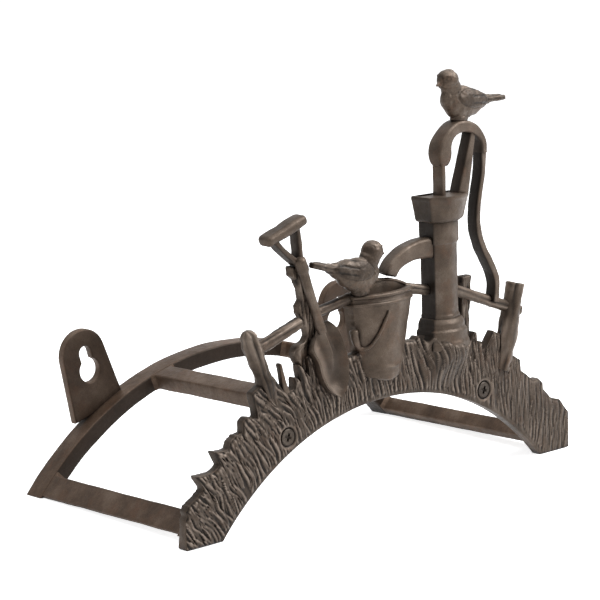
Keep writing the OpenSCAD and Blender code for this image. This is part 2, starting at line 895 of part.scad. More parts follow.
// The curved head of the handle, half a ring with a blunt end at its left
module gooseneck_outline() {
  thick = 8;
  inner_r = neck_r - thick;
  translate(neck_mid) difference() {
    union() {
      intersection() {
        circle(neck_r);
        translate([-neck_r, 0]) square([2 * neck_r, neck_r]);
      }
      translate([-neck_r, -neck_drop]) soft_rect(thick, 2 * neck_drop, 2.5);
      translate([neck_r - handle_rib, -neck_drop]) square([handle_rib, 2 * neck_drop]);
    }
    translate([1, 0]) circle(inner_r);
    translate([thick - neck_r, -neck_drop - 1]) square([2 * neck_r - thick - handle_rib, neck_drop + 1]);
  }
}

module gooseneck_form() {
  translate([0, 0, arch_r]) slab(pump_y - neck_depth / 2, pump_y + neck_depth / 2) gooseneck_outline();
}

module pump_gooseneck() {
  color(iron) hung() gooseneck_form();
}

module pump_strut() {
  half = handle_rib / 2;
  color(iron) hung() difference() {
    translate([0, 0, arch_r]) slab(pump_y - lever_depth / 2, pump_y + lever_depth / 2) polygon([
      strut_top + [half, 0], strut_top - [half, 0], strut_foot - [half + strut_flare, 0], strut_foot + [half, 0]
    ]);
    gooseneck_form();
  }
}

module pump_lever() {
  color(iron) hung() difference() {
    translate([0, 0, arch_r]) slab(pump_y - lever_depth / 2, pump_y + lever_depth / 2)
      ribbon(spline(lever_path, 5), handle_rib);
    gooseneck_form();
    rail_form(right_rail);
  }
}

cradle_rear_arch();
cradle_front_rail();
foot_bar(-1);  // cradle_foot_bar_left
foot_bar(1);  // cradle_foot_bar_right
upper_bar(-1);  // cradle_upper_bar_left
upper_bar(1);  // cradle_upper_bar_right
wall_lug(-1);  // wall_lug_left
wall_lug(1);  // wall_lug_right
panel_arch();
grass_blades();
screw(-1);  // screw_left
screw(1);  // screw_right
nut(-1);  // nut_left
nut(1);  // nut_right
fence_post_left();
fence_post_middle();
fence_post_rear();
fence_post_right();
fence_rail_left();
fence_rail_middle();
fence_rail_right();
spade_blade();
spade_shaft();
spade_arms();
spade_grip();
bucket_body();
bucket_rim();
bucket_bail();
bucket_bird();
pump_base();
pump_barrel();
pump_hopper();
pump_spout();
pump_rod();
pump_gooseneck();
pump_strut();
pump_lever();
pump_bird();
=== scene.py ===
import math
import random

import bmesh
import bpy
import numpy
from mathutils import Matrix, Vector, noise


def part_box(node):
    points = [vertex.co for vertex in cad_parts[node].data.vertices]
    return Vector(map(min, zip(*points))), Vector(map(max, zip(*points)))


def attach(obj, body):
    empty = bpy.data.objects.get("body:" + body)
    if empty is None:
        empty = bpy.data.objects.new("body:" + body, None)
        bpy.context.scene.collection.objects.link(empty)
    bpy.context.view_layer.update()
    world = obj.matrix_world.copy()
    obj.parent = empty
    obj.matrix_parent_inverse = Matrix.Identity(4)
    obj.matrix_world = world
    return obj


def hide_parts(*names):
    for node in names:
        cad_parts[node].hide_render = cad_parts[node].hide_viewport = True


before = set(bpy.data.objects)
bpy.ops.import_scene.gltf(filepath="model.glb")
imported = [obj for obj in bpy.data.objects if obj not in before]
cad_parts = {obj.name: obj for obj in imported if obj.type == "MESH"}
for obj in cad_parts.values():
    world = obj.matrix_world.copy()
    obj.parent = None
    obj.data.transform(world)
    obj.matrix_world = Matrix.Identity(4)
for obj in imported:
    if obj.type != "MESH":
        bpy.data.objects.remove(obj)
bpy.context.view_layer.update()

# Everything below is drawn in millimetres, in the part's own frame, and scaled to metres at the end
mm = 0.001
arch = {
    "radius": 200.0,        # inside of the panel's arch
    "hang": 215.0,          # its centre lies this far below the keyholes
    "bank": 236.5,          # outside of the grass bank
    "footX": 181.0,         # half width across the feet
    "soleZ": -83.0,
    "screwAngle": 26.0,
    "screwHeight": 10.5,
}
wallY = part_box("cradle_rear_arch")[1].y / mm
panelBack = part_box("panel_arch")[1].y / mm
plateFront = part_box("panel_arch")[0].y / mm


def at(x, height, y):  # height is above the arch's inside at its crown
    return Vector((x, y, height + arch["radius"] - arch["hang"]))


def polar(radius, degrees, y):  # about the panel's arch, 0 at the crown and positive to the right
    a = math.radians(degrees)
    return Vector((radius * math.sin(a), y, radius * math.cos(a) - arch["hang"]))


def lerp(a, b, t):
    return a + (b - a) * t


def smoothStep(t):
    t = min(1.0, max(0.0, t))
    return t * t * (3 - 2 * t)


def rise(value, start, span):  # 0 up to start and 1 after start + span; a negative span turns it round
    return smoothStep((value - start) / span)


def bell(value, middle, width):
    return math.exp(-((value - middle) / width) ** 2)


def spread(a, b, steps):  # evenly from a to b
    return [lerp(a, b, k / steps) for k in range(steps + 1)]


def crowded(count):  # from -1 to 1, close together at both ends
    return [math.sin(math.pi / 2 * (2 * k / (count - 1) - 1)) for k in range(count)]


# Materials

ironLook = {
    "grain": (1500.0, 4.0, 0.6),      # scale, detail and roughness of each noise
    "lumps": (260.0, 3.0, 0.55),
    "patches": (42.0, 5.0, 0.62),
    "rustSpots": (70.0, 6.0, 0.7),
    "patchStops": (0.30, 0.52, 0.75),  # where the dark, middle and light browns lie
    "rustStops": ((0.52, (0, 0, 0)), (0.70, (0.55, 0.55, 0.55))),
    "speckle": ((0.35, (0.72, 0.72, 0.72)), (0.65, (1.15, 1.13, 1.10))),
    "speckleShare": 0.8,
    "wearAndHighlightTone": 1.95,                   # brightness of worn spots and painted highlights, as a share of the light brown
    "dirtAndShadeTone": 0.28,                    # and of dirt and painted shade, as a share of the dark brown
    # painted shade in corners, crevices and between parts, from ambient occlusion, partly standing for patina in the
    # hollows
    "cornerShadeReach": 0.005,
    "cornerShadeStops": ((0.30, (0.22, 0.20, 0.18)), (0.82, (1, 1, 1))),
    "uneven": 0.08,                   # how far the roughness goes up and down
    "grainBump": (0.22, 0.0004),      # strength and distance
    "lumpBump": (0.35, 0.0008),
    "sheen": 0.2,
}


def newNode(tree, kind, **values):
    node = tree.nodes.new(kind)
    for key, value in values.items():
        setattr(node, key, value)
    return node


def feed(tree, node, **values):  # sets a node's sockets, or links them
    for key, value in values.items():
        socket = node.inputs[key]
        if isinstance(value, bpy.types.NodeSocket):
            tree.links.new(value, socket)
        else:
            socket.default_value = (*value, 1.0) if isinstance(value, tuple) else value


def ironMaterial(name, dark, mid, light, rust, roughness, metallic):
    look = ironLook
    mat = bpy.data.materials.new(name)
    mat.use_nodes = True
    tree = mat.node_tree
    coords = newNode(tree, "ShaderNodeTexCoord").outputs["Object"]

    def noiseAt(scale, detail, rough):
        n = newNode(tree, "ShaderNodeTexNoise")
        feed(tree, n, Vector=coords, Scale=scale, Detail=detail, Roughness=rough)
        return n.outputs["Fac"]

    def ramp(fac, *stops):
        r = newNode(tree, "ShaderNodeValToRGB")
        while len(r.color_ramp.elements) < len(stops):
            r.color_ramp.elements.new(0.5)
        for element, (place, colour) in zip(r.color_ramp.elements, stops):
            element.position = place
            element.color = (*colour, 1.0)
        feed(tree, r, Fac=fac)
        return r.outputs["Color"]

    def mixed(fac, a, b, kind="MIX"):
        m = newNode(tree, "ShaderNodeMix", data_type="RGBA", blend_type=kind)
        feed(tree, m, Factor=fac, A=a, B=b)
        return m.outputs["Result"]

    def carried(key):  # a value that the mesh carries at its vertices
        return newNode(tree, "ShaderNodeAttribute", attribute_name=key).outputs["Fac"]

    def bumped(height, strength, distance, **below):
        b = newNode(tree, "ShaderNodeBump")
        feed(tree, b, Height=height, Strength=strength, Distance=distance, **below)
        return b.outputs["Normal"]

    grain, lumps = noiseAt(*look["grain"]), noiseAt(*look["lumps"])
    base = ramp(noiseAt(*look["patches"]), *zip(look["patchStops"], (dark, mid, light)))
    base = mixed(ramp(noiseAt(*look["rustSpots"]), *look["rustStops"]), base, rust)
    base = mixed(look["speckleShare"], base, ramp(grain, *look["speckle"]), "MULTIPLY")
    # the mesh's worn spots and painted highlights lighten the colour, and its dirt and painted shade darken it
    base = mixed(carried("wearAndHighlight"), base, tuple(look["wearAndHighlightTone"] * c for c in light))
    base = mixed(carried("cavityAndShade"), base, tuple(look["dirtAndShadeTone"] * c for c in dark))
    # painted shade: ambient occlusion darkens the colour in corners, crevices and between parts, partly as patina in
    # the hollows
    corner = newNode(tree, "ShaderNodeAmbientOcclusion", samples=6)
    feed(tree, corner, Distance=look["cornerShadeReach"])
    base = mixed(1.0, base, ramp(corner.outputs["AO"], *look["cornerShadeStops"]), "MULTIPLY")
    low, high = roughness - look["uneven"], roughness + look["uneven"]
    shader = tree.nodes["Principled BSDF"]
    feed(tree, shader, Roughness=ramp(lumps, (0.3, (low,) * 3), (0.7, (high,) * 3)), Metallic=metallic,
         Normal=bumped(lumps, *look["lumpBump"], Normal=bumped(grain, *look["grainBump"])),
         **{"Base Color": base, "Specular IOR Level": look["sheen"]})
    return mat


ironOf = {  # dark, middle and light brown, rust, roughness and metallic
    "cradle": ironMaterial("castIron", (0.046, 0.029, 0.019), (0.093, 0.061, 0.042), (0.156, 0.113, 0.084),
                           (0.105, 0.052, 0.029), 0.50, 0.42),
    "panel": ironMaterial("figureIron", (0.040, 0.028, 0.020), (0.079, 0.058, 0.043), (0.146, 0.116, 0.094),
                          (0.090, 0.048, 0.028), 0.46, 0.42),
    "steel": ironMaterial("screwSteel", (0.026, 0.020, 0.016), (0.055, 0.044, 0.035), (0.105, 0.090, 0.077),
                          (0.048, 0.031, 0.021), 0.42, 0.6),
}


# Mesh helpers

def newSkin():  # an empty mesh that can carry dirt and painted shade, and worn spots and painted highlights
    bm = bmesh.new()
    bm.verts.layers.float.new("cavityAndShade")
    bm.verts.layers.float.new("wearAndHighlight")
    return bm


def toMesh(name, bm):
    mesh = bpy.data.meshes.new(name)
    bm.to_mesh(mesh)
    bm.free()
    return mesh


def takeIn(bm, mesh):
    bm.from_mesh(mesh)
    bpy.data.meshes.remove(mesh)
    return bm


def newObject(name, data):
    made = bpy.data.objects.new(name, data)
    bpy.context.scene.collection.objects.link(made)
    return made


def applied(holder):  # an object's final mesh, without the object
    mesh = bpy.data.meshes.new_from_object(holder.evaluated_get(bpy.context.evaluated_depsgraph_get()))
    bpy.data.objects.remove(holder)
    return mesh


def bridge(bm, a, b):  # faces between two loops of equal length
    for i in range(len(a)):
        k = (i + 1) % len(a)
        bm.faces.new((a[i], a[k], b[k], b[i]))


def addRings(bm, rings, endCap=True, closed=False):  # skins a list of rings of equal length
    loops = [[bm.verts.new(p) for p in ring] for ring in rings]
    for a, b in zip(loops, loops[1:]):
        bridge(bm, a, b)
    if closed:
        bridge(bm, loops[-1], loops[0])
    else:
        bm.faces.new(list(reversed(loops[0])))
        if endCap:
            bm.faces.new(loops[-1])
    return loops


def addSoiledAndShaded(bm, rows):  # rings whose points are (place, dirt and painted shade, wear and painted highlight)
    marks, worn = bm.verts.layers.float["cavityAndShade"], bm.verts.layers.float["wearAndHighlight"]
    for loop, row in zip(addRings(bm, [[point[0] for point in row] for row in rows]), rows):
        for v, (_, dirtAndShade, wearAndHighlight) in zip(loop, row):
            v[marks], v[worn] = max(0.0, min(1.0, dirtAndShade)), max(0.0, min(1.0, wearAndHighlight))


def roundCorners(points, radius, steps=4):  # a polygon in a plane with its corners rounded off
    out = []
    n = len(points)
    for i, p in enumerate(points):
        a, b = points[i - 1] - p, points[(i + 1) % n] - p
        half = a.angle(b) / 2
        reach = min(radius / math.tan(half), 0.49 * a.length, 0.49 * b.length)
        r = reach * math.tan(half)
        centre = p + (a.normalized() + b.normalized()).normalized() * (r / math.sin(half))
        start, end = p + a.normalized() * reach - centre, p + b.normalized() * reach - centre
        out += [centre + start.lerp(end, t).normalized() * r for t in spread(0, 1, steps)]
    return out


def ellipse(a, b, count=16):
    return [(a * math.cos(2 * math.pi * i / count), b * math.sin(2 * math.pi * i / count)) for i in range(count)]


def softRect(w, d, r, steps=3):
    box = [Vector((x * w / 2, y * d / 2, 0)) for x, y in ((-1, -1), (1, -1), (1, 1), (-1, 1))]
    return [(p.x, p.y) for p in roundCorners(box, r, steps)]


def smoothPath(points, steps):  # Catmull-Rom through given points
    out = []
    for a, b, c, d in zip(points[:1] + points, points, points[1:], points[2:] + points[-1:]):
        for k in range(steps):
            t = k / steps
            out.append(0.5 * (2 * b + (c - a) * t + (2 * a - 5 * b + 4 * c - d) * t * t
                              + (3 * b - a - 3 * c + d) * t ** 3))
    return out + [points[-1].copy()]


def radiusAlong(values):  # smooth interpolation through a list of radii
    def rule(t):
        place = t * (len(values) - 1)
        i = min(int(place), len(values) - 2)
        return lerp(values[i], values[i + 1], smoothStep(place - i))
    return rule


def pathSides(path):  # each point with its share of the path and the directions across it and to the front
    n = len(path)
    for i, p in enumerate(path):
        tangent = (path[min(i + 1, n - 1)] - path[max(i - 1, 0)]).normalized()
        side = tangent.cross(Vector((0, -1, 0))).normalized()
        yield p, i / (n - 1), side, side.cross(tangent).normalized()


def sweep(bm, path, section, width=lambda t: 1.0, depth=None, endCap=True):  # section is (across, forward)
    depth = depth or width
    rings = [[p + side * (s * width(t)) + front * (f * depth(t)) for s, f in section]
             for p, t, side, front in pathSides(path)]
    return addRings(bm, rings, endCap)


def dome(share):  # radius of a domed end, share running from 0 at the tip to 1 where it is full
    return math.sqrt(max(0.0, 1 - (1 - min(1.0, share)) ** 2))


def roughen(bm, amount, scale, seed=0.0, stretch=(1, 1, 1)):  # moves vertices along their normals by noise
    bm.normal_update()
    for v in bm.verts:
        q = Vector([c * s for c, s in zip(v.co, stretch)]) / scale
        v.co += v.normal * (amount * noise.noise(q + Vector((seed, 2 * seed, 0))))


def makePiece(name, bm, nodes, sharp=45.0, kind="panel", cavityAndShade=None, rough=()):
    for values in rough:
        roughen(bm, *values)
    bmesh.ops.recalc_face_normals(bm, faces=bm.faces)
    dressMesh(name, toMesh(name, bm), kind, nodes, sharp, cavityAndShade)


def dressMesh(name, mesh, kind, nodes, sharp, cavityAndShade=None):
    if cavityAndShade:
        values = mesh.attributes.new("cavityAndShade", "FLOAT", "POINT")
        values.data.foreach_set("value", [cavityAndShade(v) for v in mesh.vertices])
    mesh.transform(Matrix.Scale(mm, 4))
    mesh.shade_smooth()
    mesh.set_sharp_from_angle(angle=math.radians(sharp))
    piece = newObject(name, mesh)
    mesh.materials.append(ironOf[kind])
    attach(piece, "root")
    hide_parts(*nodes)


def fused(bm, voxel, smoothing):  # one skin round everything in bm, with soft inner corners
    rough = newObject("rough", toMesh("rough", bm))
    remesh = rough.modifiers.new("skin", "REMESH")
    remesh.mode = "VOXEL"
    remesh.voxel_size = voxel
    soften = rough.modifiers.new("soften", "SMOOTH")
    soften.factor = 0.5
    soften.iterations = smoothing
    return takeIn(bmesh.new(), applied(rough))


def plateMesh(loops, front, back, edge, edgeSteps=3):  # a plate with holes from outlines in X and Z
    outline = bpy.data.curves.new("outline", "CURVE")
    outline.dimensions = "2D"
    outline.fill_mode = "BOTH"
    outline.extrude = (back - front) / 2 - edge
    outline.bevel_depth = edge
    outline.bevel_resolution = edgeSteps
    outline.offset = -edge
    for loop in loops:
        spline = outline.splines.new("POLY")
        spline.points.add(len(loop) - 1)
        for point, (x, z) in zip(spline.points, loop):
            point.co = (x, z, 0, 1)
        spline.use_cyclic_u = True
    bm = takeIn(bmesh.new(), applied(newObject("outline", outline)))
    bmesh.ops.remove_doubles(bm, verts=bm.verts, dist=0.001)
    bm.transform(Matrix.Translation((0, (front + back) / 2, 0)) @ Matrix.Rotation(math.radians(90), 4, "X"))
    return bm


# Cradle casting

cradle = {
    "drop": 10.0,          # its centre below the panel arch's centre
    "inner": 215.0,
    "outer": 226.5,
    "soleZ": -78.0,
    "rearDepth": 17.0,
    "railDepth": 12.0,
    "edge": 1.3,
    "steps": 110,
    "upperAt": 16.0,
    "upperHalf": 8.0,      # half width of an upper bar along the curve
    "footWidth": 19.0,
    "fillet": 3.2,
    "filletSteps": 5,
    "tuck": 0.4,           # how far a bar's end runs into the arches
    "below": 0.12,         # a bar's faces lie this far inside the arches' faces
    "dirtAndShade": 0.88,          # painted shade on the sides that face the room and the floor
    "shadeFrom": (0.45, 0.3),
    "archRough": ((0.35, 22.0), (0.12, 5.0, 3.0)),  # height, size and seed of the lumps in a casting's skin
    "barRough": ((0.3, 20.0, 7.0), (0.1, 5.0, 1.0)),
}
cradleZ = -arch["hang"] - cradle["drop"]


def cradleEnd(radius):  # angle at which the level sole cuts a given radius
    return math.acos((cradle["soleZ"] - cradleZ) / radius)


def cradlePoint(radius, a, y):
    return Vector((radius * math.sin(a), y, cradleZ + radius * math.cos(a)))


# painted shade on the faces that turn to the front or in towards the arch's middle
def faceShade(v):
    inward = Vector((v.co.x, 0, v.co.z - cradleZ)).normalized().dot(v.normal)
    return cradle["dirtAndShade"] * max(rise(-way, *cradle["shadeFrom"]) for way in (v.normal.y, inward))


def arcBar(name, node, front, back):
    c = cradle
    corners = ((c["inner"], front), (c["outer"], front), (c["outer"], back), (c["inner"], back))
    section = roundCorners([Vector((r, y, 0)) for r, y in corners], c["edge"])
    bm = bmesh.new()
    addRings(bm, [[cradlePoint(p.x, share * cradleEnd(p.x), p.y) for p in section]
                  for share in spread(-1, 1, c["steps"])])
    makePiece(name, bm, [node], kind="cradle", cavityAndShade=faceShade, rough=c["archRough"])


def crossBar(name, node, sideAngles, filletSides):
    # sideAngles gives the two sides' angles at a radius; filletSides says which sides widen at the ends
    c = cradle
    tuck, fillet, below = c["tuck"], c["fillet"], c["below"]
    front, back = panelBack + c["railDepth"] - tuck, wallY - c["rearDepth"] + tuck
    places = spread(0, fillet, c["filletSteps"])
    depths = [front] + [front + tuck + p for p in places]
    depths += spread(depths[-1], back - fillet, 30)[1:-1]
    depths += [back - tuck - p for p in reversed(places)] + [back]
    rings = []
    for y in depths:
        gap = max(0.0, min(y - front, back - y) - tuck)
        extra = fillet * (1 - math.sqrt(1 - max(0.0, 1 - gap / fillet) ** 2))
        low, high = [], []
        for r in (c["inner"] + below, c["outer"] - below):
            first, last = sideAngles(r)
            low.append(cradlePoint(r, first - filletSides[0] * extra / r, y))
            high.append(cradlePoint(r, last + filletSides[1] * extra / r, y))
        rings.append(roundCorners(low + high[::-1], c["edge"], 3))
    bm = bmesh.new()
    addRings(bm, rings)
    makePiece(name, bm, [node], kind="cradle", rough=c["barRough"])


def buildCradle():
    c = cradle
    arcBar("rearArch", "cradle_rear_arch", wallY - c["rearDepth"], wallY)
    arcBar("frontRail", "cradle_front_rail", panelBack, panelBack + c["railDepth"])
    half = c["upperHalf"] / c["outer"]
    footStart = cradleEnd(c["outer"]) - c["footWidth"] / c["outer"]
    middle = math.radians(c["upperAt"])
    for side, label in ((-1, "Left"), (1, "Right")):
        node = label.lower()
        crossBar("upperBar" + label, "cradle_upper_bar_" + node,
                 lambda r: (side * middle - half, side * middle + half), (1, 1))
        crossBar("footBar" + label, "cradle_foot_bar_" + node,
                 lambda r: sorted((side * cradleEnd(r), side * footStart)), (side > 0, side < 0))


lug = {
    "spacing": 234.0,
    "thick": 6.5,
    "topR": 18.2,
    "rootHalf": 25.5,
    "lean": 16.0,
    "offset": 1.2,
    "rise": 11.8,          # centre of the round top above the keyhole's round end
    "rootDrop": 74.8,
    "down": 42.0,          # the flanks end this far below the round top's centre, inside the arch
    "keyR": 8.5,
    "slotR": 4.8,
    "slotL": 13.0,
    "edge": 1.3,
    "steps": 40,
    # painted shade on the lug's front face
    "dirtAndShade": 0.62,
    "shadeFrom": (0.4, 0.3),
}


def arcPoints(x, z, radius, start, end, steps):
    return [(x + radius * math.cos(a), z + radius * math.sin(a)) for a in spread(start, end, steps)]


def buildLug(side, label):
    g = lug
    root, drop, shift = g["rootHalf"], g["rootDrop"], side * g["offset"]
    touch = math.atan2(-drop, root) + math.acos(g["topR"] / math.hypot(root, drop))  # where the flanks start
    outer = arcPoints(shift, g["rise"], g["topR"], touch, math.pi - touch, g["steps"])
    halfLow = lerp(g["topR"] * math.cos(touch), root, g["down"] / drop)
    outer += [(shift + way * halfLow, g["rise"] - g["down"]) for way in (-1, 1)]
    meet = math.asin(g["slotR"] / g["keyR"])
    inner = arcPoints(0, 0, g["keyR"], math.pi / 2 - meet, meet - 1.5 * math.pi, g["steps"])
    inner += arcPoints(0, g["slotL"], g["slotR"], math.pi, 0, 16)
    turn = math.radians(-side * g["lean"])
    c, s = math.cos(turn), math.sin(turn)
    loops = [[(side * g["spacing"] / 2 + x * c - z * s, x * s + z * c) for x, z in loop] for loop in (outer, inner)]
    # the lug's front face is darkened with painted shade
    makePiece("wallLug" + label, plateMesh(loops, -g["thick"], 0.0, g["edge"], 4), ["wall_lug_" + label.lower()],
              40.0, "cradle", lambda v: g["dirtAndShade"] * rise(-v.normal.y, *g["shadeFrom"]))


buildCradle()
for side, label in ((-1, "Left"), (1, "Right")):
    buildLug(side, label)
print("cradle casting done")


# Front panel and its grass

panel = {
    "edge": 0.6,
    "screwHole": 6.7,
    "toe": 4.0,            # radius of the right foot's corner
    "chamfer": 1.2,        # and the left foot's chamfer
    "outerSteps": 420,
    "innerSteps": 110,
    "tall": 17.5,          # tufts that rise more than this are plain blades on the front half of the plate
    "tallThick": 4.0,
    "tallEdge": 0.9,
    "tallSway": 0.12,
    "crown": 0.9,          # how far its rounded tip stands up
    "tuftHollow": 1.5,     # above 1 the flanks of a low tuft are hollow
    "tallRough": (0.3, 5.0),
    "frontThick": 6.0,     # the tufts stand on the front layer only
    "overlap": 1.5,
    "rearInset": 3.0,      # the plain layer behind it is this much lower
    "root": 5.0,           # depth of their roots in the bank
    "fray": ((0.6, 0.45, 0.0), (0.55, 2.3, 4.0)),  # unevenness of the outer edge: height, waves and seed
    "frayWorn": (20, 12, 0.4),  # the short waves fade on the right leg
    # painted shade on the plate's edges and back
    "dirtAndShade": 0.45,
    "tufts": [  # foot angle, half width there, angle of the tip, half width there, rise above the bank
        (-47.0, 2.4, -48.4, 0.5, 3.0), (-42.4, 1.9, -43.8, 0.15, 10.0), (-37.8, 1.9, -39.2, 0.15, 10.0),
        (-35.0, 3.0, -35.3, 0.7, 4.5), (-31.2, 2.6, -31.8, 0.6, 7.5), (-27.4, 2.8, -27.7, 1.0, 17.4),
        (-24.9, 2.0, -24.6, 0.5, 17.4), (-22.9, 0.9, -22.1, 0.25, 20.0), (-20.2, 1.0, -20.4, 0.2, 6.0),
        (-18.4, 1.1, -19.0, 0.2, 12.0), (-16.4, 1.6, -16.8, 0.4, 13.0), (-13.6, 1.5, -13.8, 0.4, 9.0),
        (-11.0, 1.2, -11.6, 0.3, 4.0), (7.0, 0.8, 6.9, 0.2, 2.5), (9.0, 0.8, 8.9, 0.2, 3.5),
        (17.4, 1.3, 17.1, 0.3, 6.0), (20.0, 1.3, 20.2, 0.35, 10.0), (22.0, 0.9, 22.2, 0.2, 5.0),
        (25.2, 2.2, 25.1, 0.9, 15.0), (28.4, 1.8, 28.5, 0.7, 10.0), (31.6, 2.2, 31.7, 0.9, 6.0),
        (39.0, 1.8, 39.1, 0.8, 3.5), (46.6, 3.6, 47.2, 1.8, 4.0),
    ],
}


def tuftRise(tuft, a):  # height of a tuft above the bank at an angle, with hollow flanks
    foot, footHalf, tip, tipHalf, high = tuft
    share = 1.0
    if a < tip - tipHalf:
        share = (a - foot + footHalf) / (tip - tipHalf - foot + footHalf)
    elif a > tip + tipHalf:
        share = (foot + footHalf - a) / (foot + footHalf - tip - tipHalf)
    return high * max(0.0, share) ** panel["tuftHollow"]


def bankTop(a, tufted=True):  # radius of the bank's outer edge at an angle, with its low tufts
    if not tufted:
        return arch["bank"] - panel["rearInset"]
    long, short = (h * noise.noise(Vector((a * waves, seed, 5.0))) for h, waves, seed in panel["fray"])
    start, span, worn = panel["frayWorn"]
    low = max(tuftRise(t, a) for t in panel["tufts"] if t[4] <= panel["tall"])
    return arch["bank"] + long + short * lerp(1.0, worn, rise(a, start, span)) + low


def panelOutline(tufted):
    footX, low, radius = arch["footX"], arch["soleZ"], arch["radius"]
    edge = math.degrees(math.asin(footX / arch["bank"]))
    outer = [polar(bankTop(a, tufted), a, 0) for a in spread(-edge, edge, panel["outerSteps"])]
    loop = [(max(-footX, min(footX, p.x)), p.z) for p in outer]
    toe = panel["toe"]
    loop += [(footX - toe * (1 - math.cos(a)), low + toe * (1 - math.sin(a))) for a in spread(0, math.pi / 2, 4)]
    end = math.degrees(math.acos((low + arch["hang"]) / radius))  # where the arch's inside meets the sole
    loop += [(p.x, p.z) for p in (polar(radius, a, 0) for a in spread(end, -end, panel["innerSteps"]))]
    return loop + [(-footX + panel["chamfer"], low), (-footX, low + panel["chamfer"])]


def tallTuft(tuft):  # outline of a tuft that stands on its own above the bank
    foot, footHalf, tip, tipHalf, high = tuft
    left, right = [], []
    for t in spread(0, 1, 9):
        mid, half = lerp(foot, tip, t ** 1.3), lerp(footHalf, tipHalf, t ** 0.6)
        r = arch["bank"] - panel["root"] + (high + panel["root"]) * t
        sway = panel["tallSway"] * noise.noise(Vector((t * 3, foot, 1.0)))
        left.append((mid - half + sway, r))
        right.append((mid + half + sway, r))
    crown = [(lerp(tip - tipHalf, tip + tipHalf, t), arch["bank"] + high + panel["crown"] * math.sin(math.pi * t))
             for t in (0.25, 0.5, 0.75)]
    return [(p.x, p.z) for p in (polar(r, a, 0) for a, r in left + crown + right[::-1])]


def screwPlace(side):
    return polar(arch["radius"] + arch["screwHeight"], side * arch["screwAngle"], plateFront)


def buildPanelPlate():
    g = panel
    holes = [[(centre.x + x, centre.z + z) for x, z in ellipse(g["screwHole"], g["screwHole"], 28)]
             for centre in (screwPlace(-1), screwPlace(1))]
    middle = plateFront + g["frontThick"]
    parts = [plateMesh([panelOutline(True)] + holes, plateFront, middle, g["edge"], 2),
             plateMesh([panelOutline(False)] + holes, middle - g["overlap"], panelBack, g["edge"], 2)]
    for tuft in g["tufts"]:
        if tuft[4] > g["tall"]:
            parts.append(plateMesh([tallTuft(tuft)], plateFront - 0.4, plateFront + g["tallThick"], g["tallEdge"]))
            roughen(parts[-1], *g["tallRough"])
    whole = bmesh.new()
    for part in parts:
        takeIn(whole, toMesh("part", part))
    # painted shade on the plate's edges and back, fading out towards the feet
    makePiece("panelPlate", whole, ["panel_arch"], 50.0,
              cavityAndShade=lambda v: g["dirtAndShade"] * rise(v.normal.y, -0.75, 0.3) * rise(v.co.z, arch["soleZ"] + 14, 14))


grass = {
    "reach": 57.5,         # half angle of the grid that the blades are drawn on
    "columns": 700,
    "rows": 58,
    "inset": 0.5,
    "lines": 10,           # rows of blades
    "perLine": 108,
    "rooted": 54.0,        # half angle over which they stand
    "jitter": (0.42, 2.0),  # how far a root strays, along its row and across it
    "length": (17.0, 32.0),
    "half": (0.65, 1.2),   # half width of a blade
    "lift": (0.6, 2.0),    # how far the tips stand off the plate
    "ridge": 0.8,
    "bladeSteps": 8,
    "lean": (-15, 0.4),    # lean at the crown, in degrees to the right, and its change with the angle
    "leanShare": (0.6, 1.45),  # how much of it a blade has at its root and at its tip
    "sway": 9,
    "bend": 20,
    "wild": (26.0, 9.0),   # stray lean on the left and on the right
    "wildSize": 13.0,
    "wildFrom": (-40.0, 70.0),
    "fanAt": (-103.4, 10.6),  # the blades fan out round the left post's foot
    "fanSize": 20.0,
    "fanLean": 26.0,
    "worn": 0.5,           # height of the relief on the right leg, which is worn smooth
    "wornFrom": (18.0, 16.0),
    "soften": 0.35,        # share of the blurred relief in the whole
    "rim": 3.4,            # smooth band along the inside of the arch
    "rimLeft": 0.12,       # and what the relief keeps there
    "outerRim": 1.6,
    "outerLeft": 0.25,
    "bead": 0.35,          # low step along the inside of the arch
    "dirtAndShade": (-0.14, 0.55),
    "shine": (0.16, 0.45),
    "ringR": 7.4,          # smooth ring round each screw, and the dark grooves inside it
    "ringHigh": 0.7,
    "ringShine": 0.25,
    "grooves": ((6.1, 1.9), (4.2, 3.6)),
    "moundX": 52.5,        # the grass swells under the pump's foot
    "moundHalf": 27.0,
    "moundHigh": 14.0,
    "moundFrom": -4.0,
    "moundTo": 26.0,
    "moundSize": 26.0,     # and leans there so that it looks upright from the front left
    "moundLean": 17.0,
    "moundCalm": (0.85, 0.75),  # shares of the other lean and of the stray lean that the mound takes away
    "edge": 1.2,
    "back": 0.9,           # its rim lies this far inside the plate
    "seed": 11,
}


def bladePath(root, a, length, sway, bend):  # a blade that rises from its root and bends over
    g = grass
    foot = at(*g["fanAt"], 0)
    p = root.copy()
    points = [p.copy()]
    for k in range(g["bladeSteps"]):
        t = (k + 0.5) / g["bladeSteps"]
        lean = (g["lean"][0] + g["lean"][1] * a) * lerp(*g["leanShare"], t) + sway + bend * (t - 0.3)
        lean -= g["fanLean"] * bell((p - foot).length, 0, g["fanSize"])
        mound = bell(p.x, g["moundX"], g["moundSize"])
        lean = lean * (1 - g["moundCalm"][0] * mound) - g["moundLean"] * mound
        stray = noise.noise(Vector((p.x / g["wildSize"], 3.0, p.z / g["wildSize"])))
        lean += lerp(*g["wild"], rise(p.x, *g["wildFrom"])) * (1 - g["moundCalm"][1] * mound) * stray
        p = p + Vector((math.sin(math.radians(lean)), 0, math.cos(math.radians(lean)))) * (length / g["bladeSteps"])
        points.append(p.copy())
    return points


